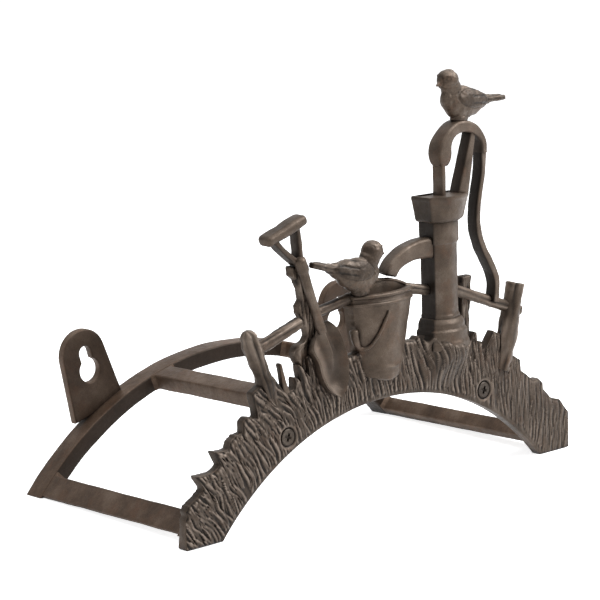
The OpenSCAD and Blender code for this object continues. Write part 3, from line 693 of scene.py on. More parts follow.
def addBlade(relief, x, z, path, half, lift):  # raises the relief where the blade lies
    g = grass
    angles = [math.degrees(math.atan2(p.x, p.z + arch["hang"])) for p in path]
    step = 2 * g["reach"] / g["columns"]
    first = max(0, int((min(angles) - 0.7 + g["reach"]) / step))
    last = min(g["columns"] + 1, int((max(angles) + 0.7 + g["reach"]) / step) + 2)
    x, z = x[first:last], z[first:last]
    best = numpy.zeros_like(x)
    for k, (p, q) in enumerate(zip(path, path[1:])):
        d = q - p
        t = numpy.clip(((x - p.x) * d.x + (z - p.z) * d.z) / d.length_squared, 0, 1)
        away = numpy.hypot(x - p.x - t * d.x, z - p.z - t * d.z)
        u = (k + t) / (len(path) - 1)
        width = half * numpy.maximum(0.06, 0.62 + 0.9 * u - 1.5 * u * u)
        bow = 1 - (away / width) ** 2
        high = lift * (0.12 + 0.95 * u - 0.25 * u ** 6) + g["ridge"] * numpy.sqrt(numpy.maximum(bow, 0))
        best = numpy.where(bow > 0, numpy.maximum(best, high), best)
    relief[first:last] = numpy.maximum(relief[first:last], best)


def drawBlades(x, z, tops):  # relief of all blades over a grid of points
    g = grass
    relief = numpy.zeros_like(x)
    draw = random.uniform
    for line in range(g["lines"]):
        share = line / (g["lines"] - 1)
        for i in range(g["perLine"]):
            place = (i + 0.5 * (line % 2) + draw(-g["jitter"][0], g["jitter"][0])) / g["perLine"]
            a = lerp(-g["rooted"], g["rooted"], place)
            top = tops[min(g["columns"], max(0, int((a + g["reach"]) / (2 * g["reach"] / g["columns"]))))]
            r = arch["radius"] + lerp(1.0, top - arch["radius"] - 9.0, share) + draw(-g["jitter"][1], g["jitter"][1])
            path = bladePath(polar(r, a, 0), a, draw(*g["length"]) * lerp(0.85, 1.0, share),
                             draw(-g["sway"], g["sway"]),
                             draw(-g["bend"], g["bend"]) * lerp(1.0, 0.4, smoothStep(a / 14)))
            addBlade(relief, x, z, path, draw(*g["half"]), draw(*g["lift"]) * lerp(1.0, 0.6, share))
    return relief


def blurred(values, reach):  # mean over a square of the grid
    count = 2 * reach + 1
    for axis in (0, 1):
        padded = numpy.pad(values, [(reach, reach) if i == axis else (0, 0) for i in (0, 1)], mode="edge")
        values = sum(numpy.take(padded, range(k, k + values.shape[axis]), axis) for k in range(count)) / count
    return values


def eased(values, start, span):  # rise for arrays
    t = numpy.clip((values - start) / span, 0, 1)
    return t * t * (3 - 2 * t)


def grassRelief(x, z, radii, tops, turns):  # height, dirt and painted shade, and worn spots and painted highlights over the grid
    g = grass
    relief = drawBlades(x, z, tops)
    relief = (1 - g["soften"]) * relief + g["soften"] * blurred(relief, 1)
    calm = lerp(1.0, g["worn"], eased(turns, *g["wornFrom"]))
    inside, outside = radii - arch["radius"], tops[:, None] - radii
    relief *= lerp(g["rimLeft"], 1.0, eased(inside, 0.8, g["rim"]))
    relief *= lerp(g["outerLeft"], 1.0, eased(outside, 0, g["outerRim"]))
    relief += g["bead"] * eased(inside, 0, 1.2)
    hollow = blurred(relief, 3) - relief
    # dirt and painted shade in the hollows between the blades, and wear and painted highlight on their ridges
    dirtAndShade = lerp(0.8, 1.0, calm) * (0.30 + 0.70 * eased(hollow, *g["dirtAndShade"]))
    shine = 0.9 * calm * eased(-hollow, *g["shine"])
    relief *= calm
    for side in (-1, 1):
        centre = screwPlace(side)
        away = numpy.hypot(x - centre.x, z - centre.z)
        ring = 1 - eased(away, g["ringR"], 1.6)
        relief = relief * (1 - ring) + g["ringHigh"] * ring
        for r, deep in g["grooves"]:
            relief -= deep * (1 - eased(away, r, 0.8))
        # painted shadow in the gap round each screw head
        dirtAndShade = numpy.maximum(dirtAndShade * (1 - ring), 1 - eased(away, 6.3, 1.0))
        shine = shine * (1 - ring) + g["ringShine"] * ring * eased(away, g["grooves"][0][0], 0.8)
    across = eased(1 - numpy.abs(x - g["moundX"]) / g["moundHalf"], 0, 0.8)
    up = z + arch["hang"] - arch["radius"]
    relief += g["moundHigh"] * across * eased(up, g["moundFrom"], g["moundTo"] - g["moundFrom"])
    return relief, dirtAndShade, shine


def buildGrass():
    g = grass
    random.seed(g["seed"])
    turns = numpy.linspace(-g["reach"], g["reach"], g["columns"] + 1)
    tops = numpy.array([bankTop(a) for a in turns]) - g["inset"]
    low = arch["radius"] + g["inset"]
    radii = low + (tops - low)[:, None] * numpy.linspace(0, 1, g["rows"] + 1)[None, :]
    turns = turns[:, None]
    x = radii * numpy.sin(numpy.radians(turns))
    z = radii * numpy.cos(numpy.radians(turns)) - arch["hang"]
    relief, dirtAndShade, shine = grassRelief(x, z, radii, tops, turns)
    right, sole = arch["footX"] - g["inset"], arch["soleZ"] + g["inset"]  # the feet are cut to these
    cutSide, cutSole = numpy.abs(x) > right, z < sole
    x, z = numpy.clip(x, -right, right), numpy.maximum(z, sole)
    relief *= lerp(0.3, 1.0, eased(numpy.minimum(right - numpy.abs(x), z - sole), 0, g["edge"]))
    faces = []
    for i in range(g["columns"]):
        for j in range(g["rows"]):
            cells = ((i, j), (i + 1, j), (i + 1, j + 1), (i, j + 1))
            if not (all(cutSide[c] for c in cells) or all(cutSole[c] for c in cells)):
                faces.append([column * (g["rows"] + 1) + row for column, row in cells])
    mesh = bpy.data.meshes.new("grass")
    mesh.from_pydata(list(zip(x.ravel(), (plateFront - relief).ravel(), z.ravel())), [], faces)
    bm = takeIn(newSkin(), mesh)
    marks, worn = bm.verts.layers.float["cavityAndShade"], bm.verts.layers.float["wearAndHighlight"]
    for v, d, s in zip(bm.verts, dirtAndShade.ravel(), shine.ravel()):
        v[marks], v[worn] = float(d), float(s)
    bmesh.ops.delete(bm, geom=[v for v in bm.verts if not v.link_faces], context="VERTS")
    bmesh.ops.remove_doubles(bm, verts=bm.verts, dist=0.02)
    made = bmesh.ops.extrude_edge_only(bm, edges=[e for e in bm.edges if len(e.link_faces) == 1])["geom"]
    for v in made:
        if isinstance(v, bmesh.types.BMVert):
            v.co.y = plateFront + g["back"]
    rim = [e for e in bm.edges if len(e.link_faces) == 1]
    bmesh.ops.triangle_fill(bm, edges=rim, use_beauty=False, normal=(0, 1, 0))
    makePiece("grassBlades", bm, ["grass_blades"], 70.0)


buildPanelPlate()
buildGrass()
print("panel and grass done")


# Screws and nuts

fastener = {
    "shank": 3.0,
    "head": 5.5,
    "headEdge": 0.5,
    "proud": 0.5,
    "past": 1.2,           # the screw ends this far behind its nut
    "recessHalf": 0.95,
    "recessLong": 3.3,
    "recessDeep": 2.2,
    "recessTurns": (20, 110),
    "nutFlat": 5.0,
    "nutThick": 5.0,
    "nutEdge": (0.55, 0.45),
    "thread": 1.02,        # the nut's hole, as a share of the shank
}


def buildScrew(side, label):
    f = fastener
    centre = screwPlace(side) - Vector((0, f["proud"], 0))
    grip = panelBack - plateFront + cradle["railDepth"] + f["nutThick"] + f["past"] + f["proud"]
    head, shank = f["head"], f["shank"]
    right, down = Vector((1, 0, 1)).normalized(), Vector((1, 0, -1)).normalized()
    profile = [(head - f["headEdge"], 0.0), (head, 0.35), (head, 0.7), (shank, 3.6), (shank, grip - 0.6),
               (shank - 0.6, grip)]
    bm = bmesh.new()
    addRings(bm, [[centre + Vector((0, y, 0)) + (right * a + down * b) * r for a, b in ellipse(1, 1, 32)]
                  for r, y in profile])
    bmesh.ops.recalc_face_normals(bm, faces=bm.faces)
    body = newObject("screwBody", toMesh("screwBody", bm))
    cut = bmesh.new()
    for turn in f["recessTurns"]:
        tip = Matrix.Translation(centre) @ Matrix.Rotation(math.radians(turn), 4, "Y")
        corners = [(x * f["recessHalf"], z * f["recessLong"]) for x, z in ((-1, -1), (1, -1), (1, 1), (-1, 1))]
        addRings(cut, [[tip @ Vector((x * wide, y, z * long)) for x, z in corners]
                       for wide, y, long in ((1, -0.5, 1), (0.7, f["recessDeep"], 0.35))])
    bmesh.ops.recalc_face_normals(cut, faces=cut.faces)
    tool = newObject("recess", toMesh("recess", cut))
    recess = body.modifiers.new("recess", "BOOLEAN")
    recess.operation = "DIFFERENCE"
    recess.solver = "EXACT"
    recess.use_self = True
    recess.object = tool
    mesh = applied(body)
    bpy.data.objects.remove(tool)
    dressMesh("screw" + label, mesh, "steel", ["screw_" + label.lower()], 35.0)


def buildNut(side, label):
    f = fastener
    centre = screwPlace(side)
    centre.y = panelBack + cradle["railDepth"]
    thick, flat, count = f["nutThick"], f["nutFlat"], 48
    cut, edge = f["nutEdge"]
    rings = []
    for inset, y in ((cut, 0.0), (0.0, edge), (0.0, thick - edge), (cut, thick)):
        ring = []
        for x, z in ellipse(1.0, 1.0, count):
            off = (math.atan2(z, x) + math.pi / 6) % (math.pi / 3) - math.pi / 6  # the angle from a flat's middle
            r = min(flat / math.cos(off), flat / math.cos(math.pi / 6) - inset)
            ring.append(centre + Vector((r * x, y, r * z)))
        rings.append(ring)
    hole = f["shank"] * f["thread"]
    rings += [[centre + Vector((x, y, z)) for x, z in ellipse(hole, hole, count)] for y in (thick, 0.0)]
    bm = bmesh.new()
    addRings(bm, rings, closed=True)
    makePiece("nut" + label, bm, ["nut_" + label.lower()], 30.0, "steel")


for side, label in ((-1, "Left"), (1, "Right")):
    buildScrew(side, label)
    buildNut(side, label)
print("fasteners done")


# Fence

fence = {
    "railR": 4.2,
    "railProud": 1.0,      # the rails' backs lie this far in front of the panel's back
    "postY": 5.9,          # the round posts' middle in front of the panel's back
    "leftPost": [(-101.6, 7.0), (-104.6, 15.5), (-108.2, 25.5), (-111.6, 34.5), (-114.8, 43.0), (-118.0, 51.0),
                 (-121.0, 58.5)],
    "leftPostR": [4.2, 4.6, 6.4, 5.0, 5.6, 6.0, 5.3],
    "middleLeft": [(-76.0, 30.0), (-81.0, 38.0), (-82.0, 42.5), (-79.5, 46.5), (-73.0, 48.5), (-70.0, 52.0),
                   (-70.5, 56.0), (-73.5, 63.5), (-76.5, 67.5), (-77.0, 72.5), (-73.8, 76.0), (-75.0, 83.5),
                   (-78.0, 89.5), (-82.0, 93.5), (-82.6, 99.0)],
    "middleRight": [(-54.0, 30.0), (-58.0, 47.5), (-60.5, 60.0), (-65.0, 73.0), (-66.0, 83.5), (-69.0, 92.0),
                    (-71.5, 99.0)],
    "rearLeft": [(70.0, 18.0), (72.4, 40.0), (73.6, 52.0), (74.2, 62.0), (75.4, 71.0)],
    "rearRight": [(81.0, 18.0), (82.6, 45.0), (84.4, 56.0), (84.8, 64.0), (86.0, 71.0)],
    "rightPost": [(111.5, 0.0), (116.0, 12.0), (119.0, 22.0), (121.6, 32.0), (124.8, 45.0), (128.6, 58.0)],
    "rightPostR": [6.0, 6.6, 8.0, 7.3, 6.6, 6.5],
    "rails": {  # node, girth as a share of railR, and each stretch's two ends
        "fenceRailLeft": ("fence_rail_left", 1.0, [((-117.0, 48.8), (-76.0, 62.2))]),
        "fenceRailMiddle": ("fence_rail_middle", 0.85,
                            [((-66.0, 65.0), (-30.0, 71.5)), ((18.0, 71.5), (47.0, 65.5))]),
        "fenceRailRight": ("fence_rail_right", 0.93, [((58.0, 66.5), (133.5, 39.0))]),
    },
    "flat": 6.0,           # thickness of the planks
    "plankStep": 0.8,
    "plankColumns": 18,
    "plankRim": 1.6,       # rounding of its long edges
    "plankTop": 1.3,
    "grain": (1.9, 0.9, 0.5),  # depth of the grooves and height of the ridges in its grain, and of the fine grain
    "barkTurn": 0.7,       # how far the bark winds round a post over its length
    "bark": (0.24, 0.13),  # height of the ridges and of the knots, as shares of the girth
    "tips": [0.25, 0.5, 0.7, 0.85, 0.95, 1.0],  # the rings of a rounded end
    "flatTip": 1.6,        # rounding of a sawn end
    "postRough": [(0.3, 2.2, 5.0, (1.6, 1.6, 0.7))],
    "railRough": [(0.25, 2.4, 6.0, (0.6, 1.6, 1.6))],
}


def addBranch(bm, path, girth, deepest, seed, turn=0.0, grooves=(), bark=1.0, count=30):
    # a rough branch whose ridges run along it; each groove is (angle from the right, depth, width)
    ridgeHigh, knotHigh = fence["bark"]
    rows = []
    for p, t, across, out in pathSides(path):
        row, r = [], girth(t)
        for k in range(count):
            a = 2 * math.pi * k / count
            turned = a + turn * t
            ridge = noise.noise(Vector((2.1 * math.cos(turned), 2.1 * math.sin(turned), seed + 0.035 * (p.x + p.z))))
            knot = noise.noise(Vector((math.cos(a), math.sin(a), seed + 0.14 * (p.x + 2 * p.z))))
            cut = sum(depth * bell((a - where + math.pi) % (2 * math.pi), math.pi, wide)
                      for where, depth, wide in grooves)
            s = r * (1 + bark * (ridgeHigh * ridge + knotHigh * knot) - cut)
            row.append((p + across * s * math.cos(a) + out * min(s, deepest) * math.sin(a),
                        max(0.0, -2.2 * ridge - 0.15) + 2.6 * cut, 0.9 * max(0.0, ridge - 0.05)))
        rows.append(row)
    addSoiledAndShaded(bm, rows)


def buildRoundPost(name, node, points, radii, seed, grooves, sawn):
    f = fence
    path = smoothPath([at(x, h, panelBack - f["postY"]) for x, h in points], 8)
    rule, last, tips = radiusAlong(radii), radii[-1], f["tips"]
    rounding = f["flatTip"] if sawn else last
    body = len(path) - 1
    along, end = (path[-1] - path[-3]).normalized(), path[-1].copy()
    path += [end + along * rounding * step for step in tips]

    def girth(t):
        place = t * (body + len(tips))
        if place <= body:
            return rule(place / body)
        fall = math.sqrt(max(0.0, 1 - tips[min(len(tips), int(round(place - body))) - 1] ** 2))
        return last - rounding + rounding * fall + 0.15

    bm = newSkin()
    addBranch(bm, path, girth, f["postY"] + 0.6, seed, f["barkTurn"], grooves)
    makePiece(name, bm, [node], 80.0, rough=f["postRough"])


def edgeAt(edge, h):  # x of an edge at a height
    for (x0, h0), (x1, h1) in zip(edge, edge[1:]):
        if h <= h1:
            return lerp(x0, x1, max(0.0, h - h0) / (h1 - h0))
    return edge[-1][0]


def buildPlank(name, node, left, right, seed, pumpShadow=0.0):
    front = panelBack - fence["flat"]
    groove, ridge, thin = fence["grain"]
    low, top = left[0][1], left[-1][1]
    rows = []
    for h in spread(low, top, int((top - low) / fence["plankStep"])):
        x0 = edgeAt(left, h) + 0.7 * noise.noise(Vector((0, h * 0.35, seed)))
        x1 = edgeAt(right, h)
        ease = fence["plankTop"] * (1 - dome((top - h) / 1.6 + 0.05))
        row = []
        for u in spread(0, 1, fence["plankColumns"]):
            x = lerp(x0 + ease, x1 - ease, u)
            rim = fence["plankRim"] * (1 - dome(min(u, 1 - u) * (x1 - x0) / 2.0 + 0.03))
            grain = noise.noise(Vector((x * 0.55, h * 0.075, seed)))
            fine = noise.noise(Vector((x * 1.5, h * 0.2, seed + 5)))
            y = front + rim + ease + groove * max(0.0, grain) - ridge * max(0.0, -grain) + thin * fine
            # grooves darker with dirt and ridges worn; the last added value is painted shadow from the pump
            row.append((at(x, h, y), 1.9 * max(0.0, grain) + 0.6 * max(0.0, fine) - 0.1 + pumpShadow,
                        0.9 * max(0.0, -grain - 0.1)))
        rows.append(row + [(at(x, h, panelBack), 0.4, 0.0) for x in (x1 - ease, x0 + ease)])
    bm = newSkin()
    addSoiledAndShaded(bm, rows)
    makePiece(name, bm, [node], 60.0)


def buildFence():
    f = fence
    buildRoundPost("fencePostLeft", "fence_post_left", f["leftPost"], f["leftPostR"], 2.0,
                   [(1.75, 0.20, 0.30), (2.75, 0.12, 0.25)], False)
    buildRoundPost("fencePostRight", "fence_post_right", f["rightPost"], f["rightPostR"], 5.0,
                   [(2.2, 0.14, 0.25)], True)
    buildPlank("fencePostMiddle", "fence_post_middle", f["middleLeft"], f["middleRight"], 1.0)
    # the rear plank gets painted shadow, where the pump's shade falls on it
    buildPlank("fencePostRear", "fence_post_rear", f["rearLeft"], f["rearRight"], 9.0, 0.45)
    for name, (node, share, spans) in f["rails"].items():
        bm = newSkin()
        r = f["railR"] * share
        for start, end in spans:
            a, b = (at(*spot, panelBack - r - f["railProud"]) for spot in (start, end))
            length = (b - a).length
            close = [r * s / length for s in (0.02, 0.12, 0.3, 0.6)]  # more rings at the domed ends
            path = [a.lerp(b, t) for t in sorted({*(k / 44 for k in range(45)), *close, *(1 - s for s in close)})]
            addBranch(bm, path, lambda t: r * dome(min(t, 1 - t) * length / r + 0.02), r, 4.0 + start[0] * 0.01, 0.2,
                      [(math.pi / 2 + 0.1, 0.14, 0.25)], 0.5)
        makePiece(name, bm, [node], 80.0, rough=f["railRough"])


buildFence()
print("fence done")


# Spade

spade = {
    "joint": (-62.0, 59.0),
    "bladeLean": 13.5,
    "shaftLean": 19.5,
    "bladeL": 50.0,
    "bladeW": 27.1,
    "nose": 24.0,
    "lowShare": 0.93,      # its width above the nose, as a share of its width at the shoulders
    "crotch": 1.0,
    "bendBack": 5.0,       # the shoulders bend back to the shaft
    "bendOver": 26,
    "leftDrop": 6.0,
    "dropOver": 24,
    "shoulder": 13.0,      # height of the rounded shoulders
    "front": 8.0,          # how far the blade's edge stands off the plate
    "dish": 4.2,
    "ridge": 4.6,          # height of the ridge down the middle, half its width, and where it starts
    "ridgeHalf": 2.6,
    "ridgeFrom": (13, 24),
    "bowlShade": 0.42,
    "edgeShine": 0.30,
    "ridgeShine": 0.18,
    "bladeRows": 44,
    "bladeColumns": 25,
    "bladeRough": [(0.3, 7.0, 8.0)],
    "shaftL": 47.0,
    "shaftR": 3.1,
    "shaftStart": -6.0,
    "shaftEnd": 2.0,       # past its length, inside the arms
    "shaftBack": 5.5,      # its back, in front of the panel's back
    "shaftRough": [(0.4, 7.0, 3.0, (1.2, 1.2, 0.5))],
    "collar": 9.0,
    "collarProud": 1.1,
    "gripRise": 23.0,
    "gripL": 36.0,
    "gripH": 7.2,
    "gripDepth": 12.5,
    "gripOffset": -4.0,
    "gripEnds": [0.0, 0.25, 0.8, 1.8, 3.2],
    "gripRough": [(0.5, 8.0, 12.0)],
    "armSpan": 22.0,
    "armDepth": 9.0,
    "armT": 3.6,
    "armRough": [(0.3, 6.0, 1.0)],
}


def spadePlace(lean):
    return Matrix.Translation(at(*spade["joint"], 0)) @ Matrix.Rotation(math.radians(-lean), 4, "Y")


def spadeHalfWidth(up):  # half width of the blade at a height above its tip
    s = spade
    half, low = s["bladeW"] / 2, s["lowShare"]
    if up < s["nose"]:
        return half * low * max(0.03, 1 - (1 - up / s["nose"]) ** 2.1) ** 0.62
    shoulder = max(0.0, 1 - (s["bladeL"] - up) / s["shoulder"])
    return half * lerp(low, 1.0, rise(up, s["nose"], s["bladeL"] - s["nose"] - 8)) * (1 - 0.5 * shoulder ** 2)


def buildSpadeBlade():
    s = spade
    long = s["bladeL"]
    place = spadePlace(s["bladeLean"])
    rows = []
    for k in range(s["bladeRows"] + 1):
        up = long * (k / s["bladeRows"]) ** 1.1
        w = spadeHalfWidth(up)
        back = s["bendBack"] * rise(up, long - s["bendOver"], s["bendOver"])
        row = []
        for u in crowded(s["bladeColumns"]):
            z = up - long + s["crotch"] * (up / long) ** 6 * max(0.0, 1 - abs(u) / 0.55)
            z -= s["leftDrop"] * rise(up, long - s["dropOver"], s["dropOver"]) * max(0.0, -u) ** 1.5
            bowl = max(0.0, 1 - (abs(u) / 0.93) ** 2.4)
            hollow = s["dish"] * bowl * smoothStep(up / 12)
            ridge = s["ridge"] * bell(u * w, 0, s["ridgeHalf"]) * rise(up, *s["ridgeFrom"])
            y = plateFront - s["front"] + back + hollow - ridge + rise(abs(u), 0.93, 0.07)
            # painted shade in the dish, heavier on its right half; painted highlight along the left edge and on the
            # ridge
            dirtAndShade = s["bowlShade"] * bowl * (0.35 + 0.65 * rise(u, -0.15, 0.5)) * (1 - min(1.0, ridge / 2.5))
            shine = s["edgeShine"] * bell(u, -0.72, 0.28) + s["ridgeShine"] * min(1.0, ridge / 4)
            row.append((place @ Vector((u * w, min(plateFront, y), z)), dirtAndShade, shine))
            if u < -0.999:
                leftZ = z
        row += [(place @ Vector((w, plateFront + 0.5, z)), 0.5, 0.0),
                (place @ Vector((-w, plateFront + 0.5, leftZ)), 0.7, 0.0)]
        rows.append(row)
    bm = newSkin()
    addSoiledAndShaded(bm, rows)
    makePiece("spadeBlade", bm, ["spade_blade"], 50.0, rough=s["bladeRough"])


def buildSpadeShaft():
    s = spade
    place = spadePlace(s["shaftLean"])
    start, end = s["shaftStart"], s["shaftL"] + s["shaftEnd"]
    path = [place @ Vector((0, panelBack - s["shaftBack"] - s["shaftR"], z)) for z in spread(start, end, 40)]

    def girth(t):
        z = lerp(start, end, t)
        r = s["shaftR"] * (1 + 0.12 * rise(z, 6, -10))
        r += s["collarProud"] * rise(z, s["shaftL"] - s["collar"] - 1, 2.0)
        return r * dome((1 - t) * (end - start) / 2.5 + 0.05)

    bm = bmesh.new()
    sweep(bm, path, ellipse(1.0, 1.0, 20), girth)
    makePiece("spadeShaft", bm, ["spade_shaft"], 60.0, rough=s["shaftRough"])


def buildSpadeHandle():
    s = spade
    place = spadePlace(s["shaftLean"])
    y, gripZ = panelBack - s["armDepth"] / 2, s["shaftL"] + s["gripRise"]
    bm = bmesh.new()
    for side in (-1, 1):
        foot = Vector((side * 1.2, y, s["shaftL"] - 2.0))
        top = Vector((s["gripOffset"] + side * s["armSpan"] / 2, y, gripZ))
        path = smoothPath([foot, foot.lerp(top, 0.5) + Vector((side * 1.0, 0, 0)), top], 8)
        sweep(bm, [place @ p for p in path], softRect(s["armT"], s["armDepth"], 1.3),
              lambda t: lerp(1.25, 1.0, smoothStep(t * 3)), lambda t: 1.0)
    # painted shade on the sides that face left, over a little dirt all over
    makePiece("spadeArms", bm, ["spade_arms"], 50.0, rough=s["armRough"],
              cavityAndShade=lambda v: 0.25 + 0.45 * rise(-v.normal.x, 0.3, 0.3))
    half, ends = s["gripL"] / 2, s["gripEnds"]
    xs = [e - half for e in ends] + spread(4.5 - half, half - 4.5, 16) + [half - e for e in reversed(ends)]
    y = panelBack - s["gripDepth"] / 2
    section = softRect(s["gripDepth"], s["gripH"], 2.9, 5)
    rings = []
    for x in xs:
        inset = 1 - 0.42 * (1 - dome((half - abs(x)) / 3.2))
        swell = 1 + 0.03 * math.cos(math.pi * x / half)
        rings.append([place @ Vector((s["gripOffset"] + x, y + d * inset, gripZ + h * inset * swell))
                      for d, h in section])
    bm = bmesh.new()
    addRings(bm, rings)
    makePiece("spadeGrip", bm, ["spade_grip"], 60.0, rough=s["gripRough"])


buildSpadeBlade()
buildSpadeShaft()
buildSpadeHandle()
print("spade done")


# Bucket

bucket = {
    "mid": -5.0,
    "foot": 14.0,
    "rimHalf": 29.0,
    "wallHalf": 27.0,
    "bottomHalf": 16.5,
    "bottomShift": 2.0,
    "high": 59.0,
    "band": 8.5,
    "bulge": 8.0,
    "front": 2.0,          # the side edges of the bucket stand this far off the plate
    "sag": (3.0, 14.0),    # drop of the middle of the bottom, and the height over which it fades
    "hoops": [(1.3, 9.5, 1.0), (0.7, 5.5, 0.9), (0.5, 44.5, 0.9)],  # how proud, how high and how wide
    "bodyRows": 34,
    "bodyColumns": 25,
    "bodyRough": [(0.35, 9.0, 6.0), (0.12, 3.0, 2.0)],
    "rimColumns": 37,
    "rimProfile": [  # outward and up: two beads, then down the inside
        (-0.6, 0.0), (0.4, 0.2), (1.1, 0.8), (1.35, 1.7), (1.0, 2.5), (0.1, 3.0), (-0.5, 3.6), (-0.6, 4.8),
        (0.0, 5.6), (1.1, 6.2), (1.7, 7.0), (1.5, 7.9), (0.8, 8.5), (-0.2, 8.8), (-3.0, 8.4), (-3.6, 7.4),
        (-3.8, 3.5), (-3.8, 0.0)],
    "rimRough": [(0.3, 6.0, 9.0)],
    "farRise": 7.3,        # the far wall of the mouth rises to the middle
    "farBead": (1.3, 1.7),
    "farSteps": 30,
    "farDeep": (5.0, 3.0, 1.6),  # the far wall's back, crest and front, behind the plate's front
    "mouth": (4.5, 8.0, 4.0),    # top and bottom of the mouth's floor below the rim, and its back
    "bail": [(-28.5, 37.0), (-27.0, 29.5), (-22.5, 23.5), (-17.0, 25.0), (-10.0, 35.0), (-3.0, 47.5)],
    "bailR": (2.9, 2.6, 1.6, 1.2, 1.1, 0.9),
    "bailProud": 0.9,
    "bailRough": [(0.3, 4.0, 5.0)],
}


def bucketFront(u, bulge):  # depth of the round front, u running from -1 to 1 across the bucket
    u = min(1.0, abs(u))
    return plateFront - bucket["front"] - bulge * (1 - u * u)


def bucketSide(height):  # middle and half width of the body at a height above its bottom
    b = bucket
    t = height / (b["high"] - b["band"])
    left, right = (lerp(side * b["bottomHalf"] - b["bottomShift"], side * b["wallHalf"], t) for side in (-1, 1))
    return (left + right) / 2, (right - left) / 2


def buildBucketBody():
    b = bucket
    rings = []
    for height in spread(0, b["high"] - b["band"] + 1.0, b["bodyRows"]):
        mid, half = bucketSide(height)
        low = 1 - 0.22 * (1 - dome(height / 2.5))
        bulge = b["bulge"] * low + sum(proud * bell(height, up, wide) for proud, up, wide in b["hoops"])
        sag = b["sag"][0] * (1 - min(1.0, height / b["sag"][1]))
        ring = [at(b["mid"] + mid + u * half * low, b["foot"] + height + sag * u * u,
                   bucketFront(u, bulge) + 1.2 * rise(abs(u), 0.9, 0.1)) for u in crowded(b["bodyColumns"])]
        rings.append(ring + [at(b["mid"] + (mid + half) * low, b["foot"] + height + sag, panelBack),
                             at(b["mid"] + (mid - half) * low, b["foot"] + height + sag, panelBack)])
    bm = bmesh.new()
    addRings(bm, rings)
    makePiece("bucketBody", bm, ["bucket_body"], 50.0, rough=b["bodyRough"])


def buildBucketRim():
    b = bucket
    low, top = b["foot"] + b["high"] - b["band"], b["foot"] + b["high"]
    rings = []
    for u in crowded(b["rimColumns"]):
        normal = Vector((2 * b["bulge"] * u / b["rimHalf"], -1, 0)).normalized()
        rings.append([at(b["mid"] + u * (b["rimHalf"] - 2.0), low + up, bucketFront(u, b["bulge"]) + 0.8)
                      + normal * out for out, up in b["rimProfile"]])
    ends = [[Vector((p.x, panelBack, p.z)) for p in ring] for ring in (rings[0], rings[-1])]
    bm = bmesh.new()
    addRings(bm, ends[:1] + rings + ends[1:])
    # the far wall of the mouth and its rolled edge
    half = b["rimHalf"] - 1.5
    far = [(b["mid"] + u * half, top - 0.5 + b["farRise"] * (1 - u * u)) for u in spread(-1, 1, b["farSteps"])]
    back, crest, front = (plateFront + deep for deep in b["farDeep"])
    addRings(bm, [[at(x, h, back), at(x, h + 0.2, crest), at(x, h, front), at(x, low + 3.0, front),
                   at(x, low + 3.0, back)] for x, h in far])
    sweep(bm, [at(x, h, plateFront + 2.6) for x, h in far], ellipse(*b["farBead"], 10))
    # the floor of the shallow mouth
    upper, lower, back = top - b["mouth"][0], top - b["mouth"][1], plateFront + b["mouth"][2]
    floor = []
    for u in spread(-1, 1, b["farSteps"]):
        x, y = b["mid"] + u * (b["rimHalf"] - 2.0), bucketFront(u, b["bulge"]) + 2.5
        floor.append([at(x, upper, y), at(x, upper, back), at(x, lower, back), at(x, lower, y)])
    addRings(bm, floor)
    makePiece("bucketRim", bm, ["bucket_rim"], 60.0, rough=b["rimRough"])


def buildBail():
    b = bucket
    points = []
    for x, h in b["bail"]:
        mid, half = bucketSide(h)
        u = (x - mid) / half
        y = bucketFront(u, b["bulge"]) - b["bailProud"] if u > -1 else plateFront - 2.5
        points.append(at(b["mid"] + x, b["foot"] + h, y))
    path = smoothPath(points, 8)
    length = sum((q - p).length for p, q in zip(path, path[1:]))
    rule = radiusAlong(b["bailR"])
    bm = bmesh.new()
    sweep(bm, path, ellipse(1.0, 1.0, 14), lambda t: rule(t) * dome(min(t, 1 - t) * length / 2.5 + 0.1))
    makePiece("bucketBail", bm, ["bucket_bail"], 80.0, rough=b["bailRough"])


buildBucketBody()
buildBucketRim()
buildBail()
print("bucket done")


# Pump

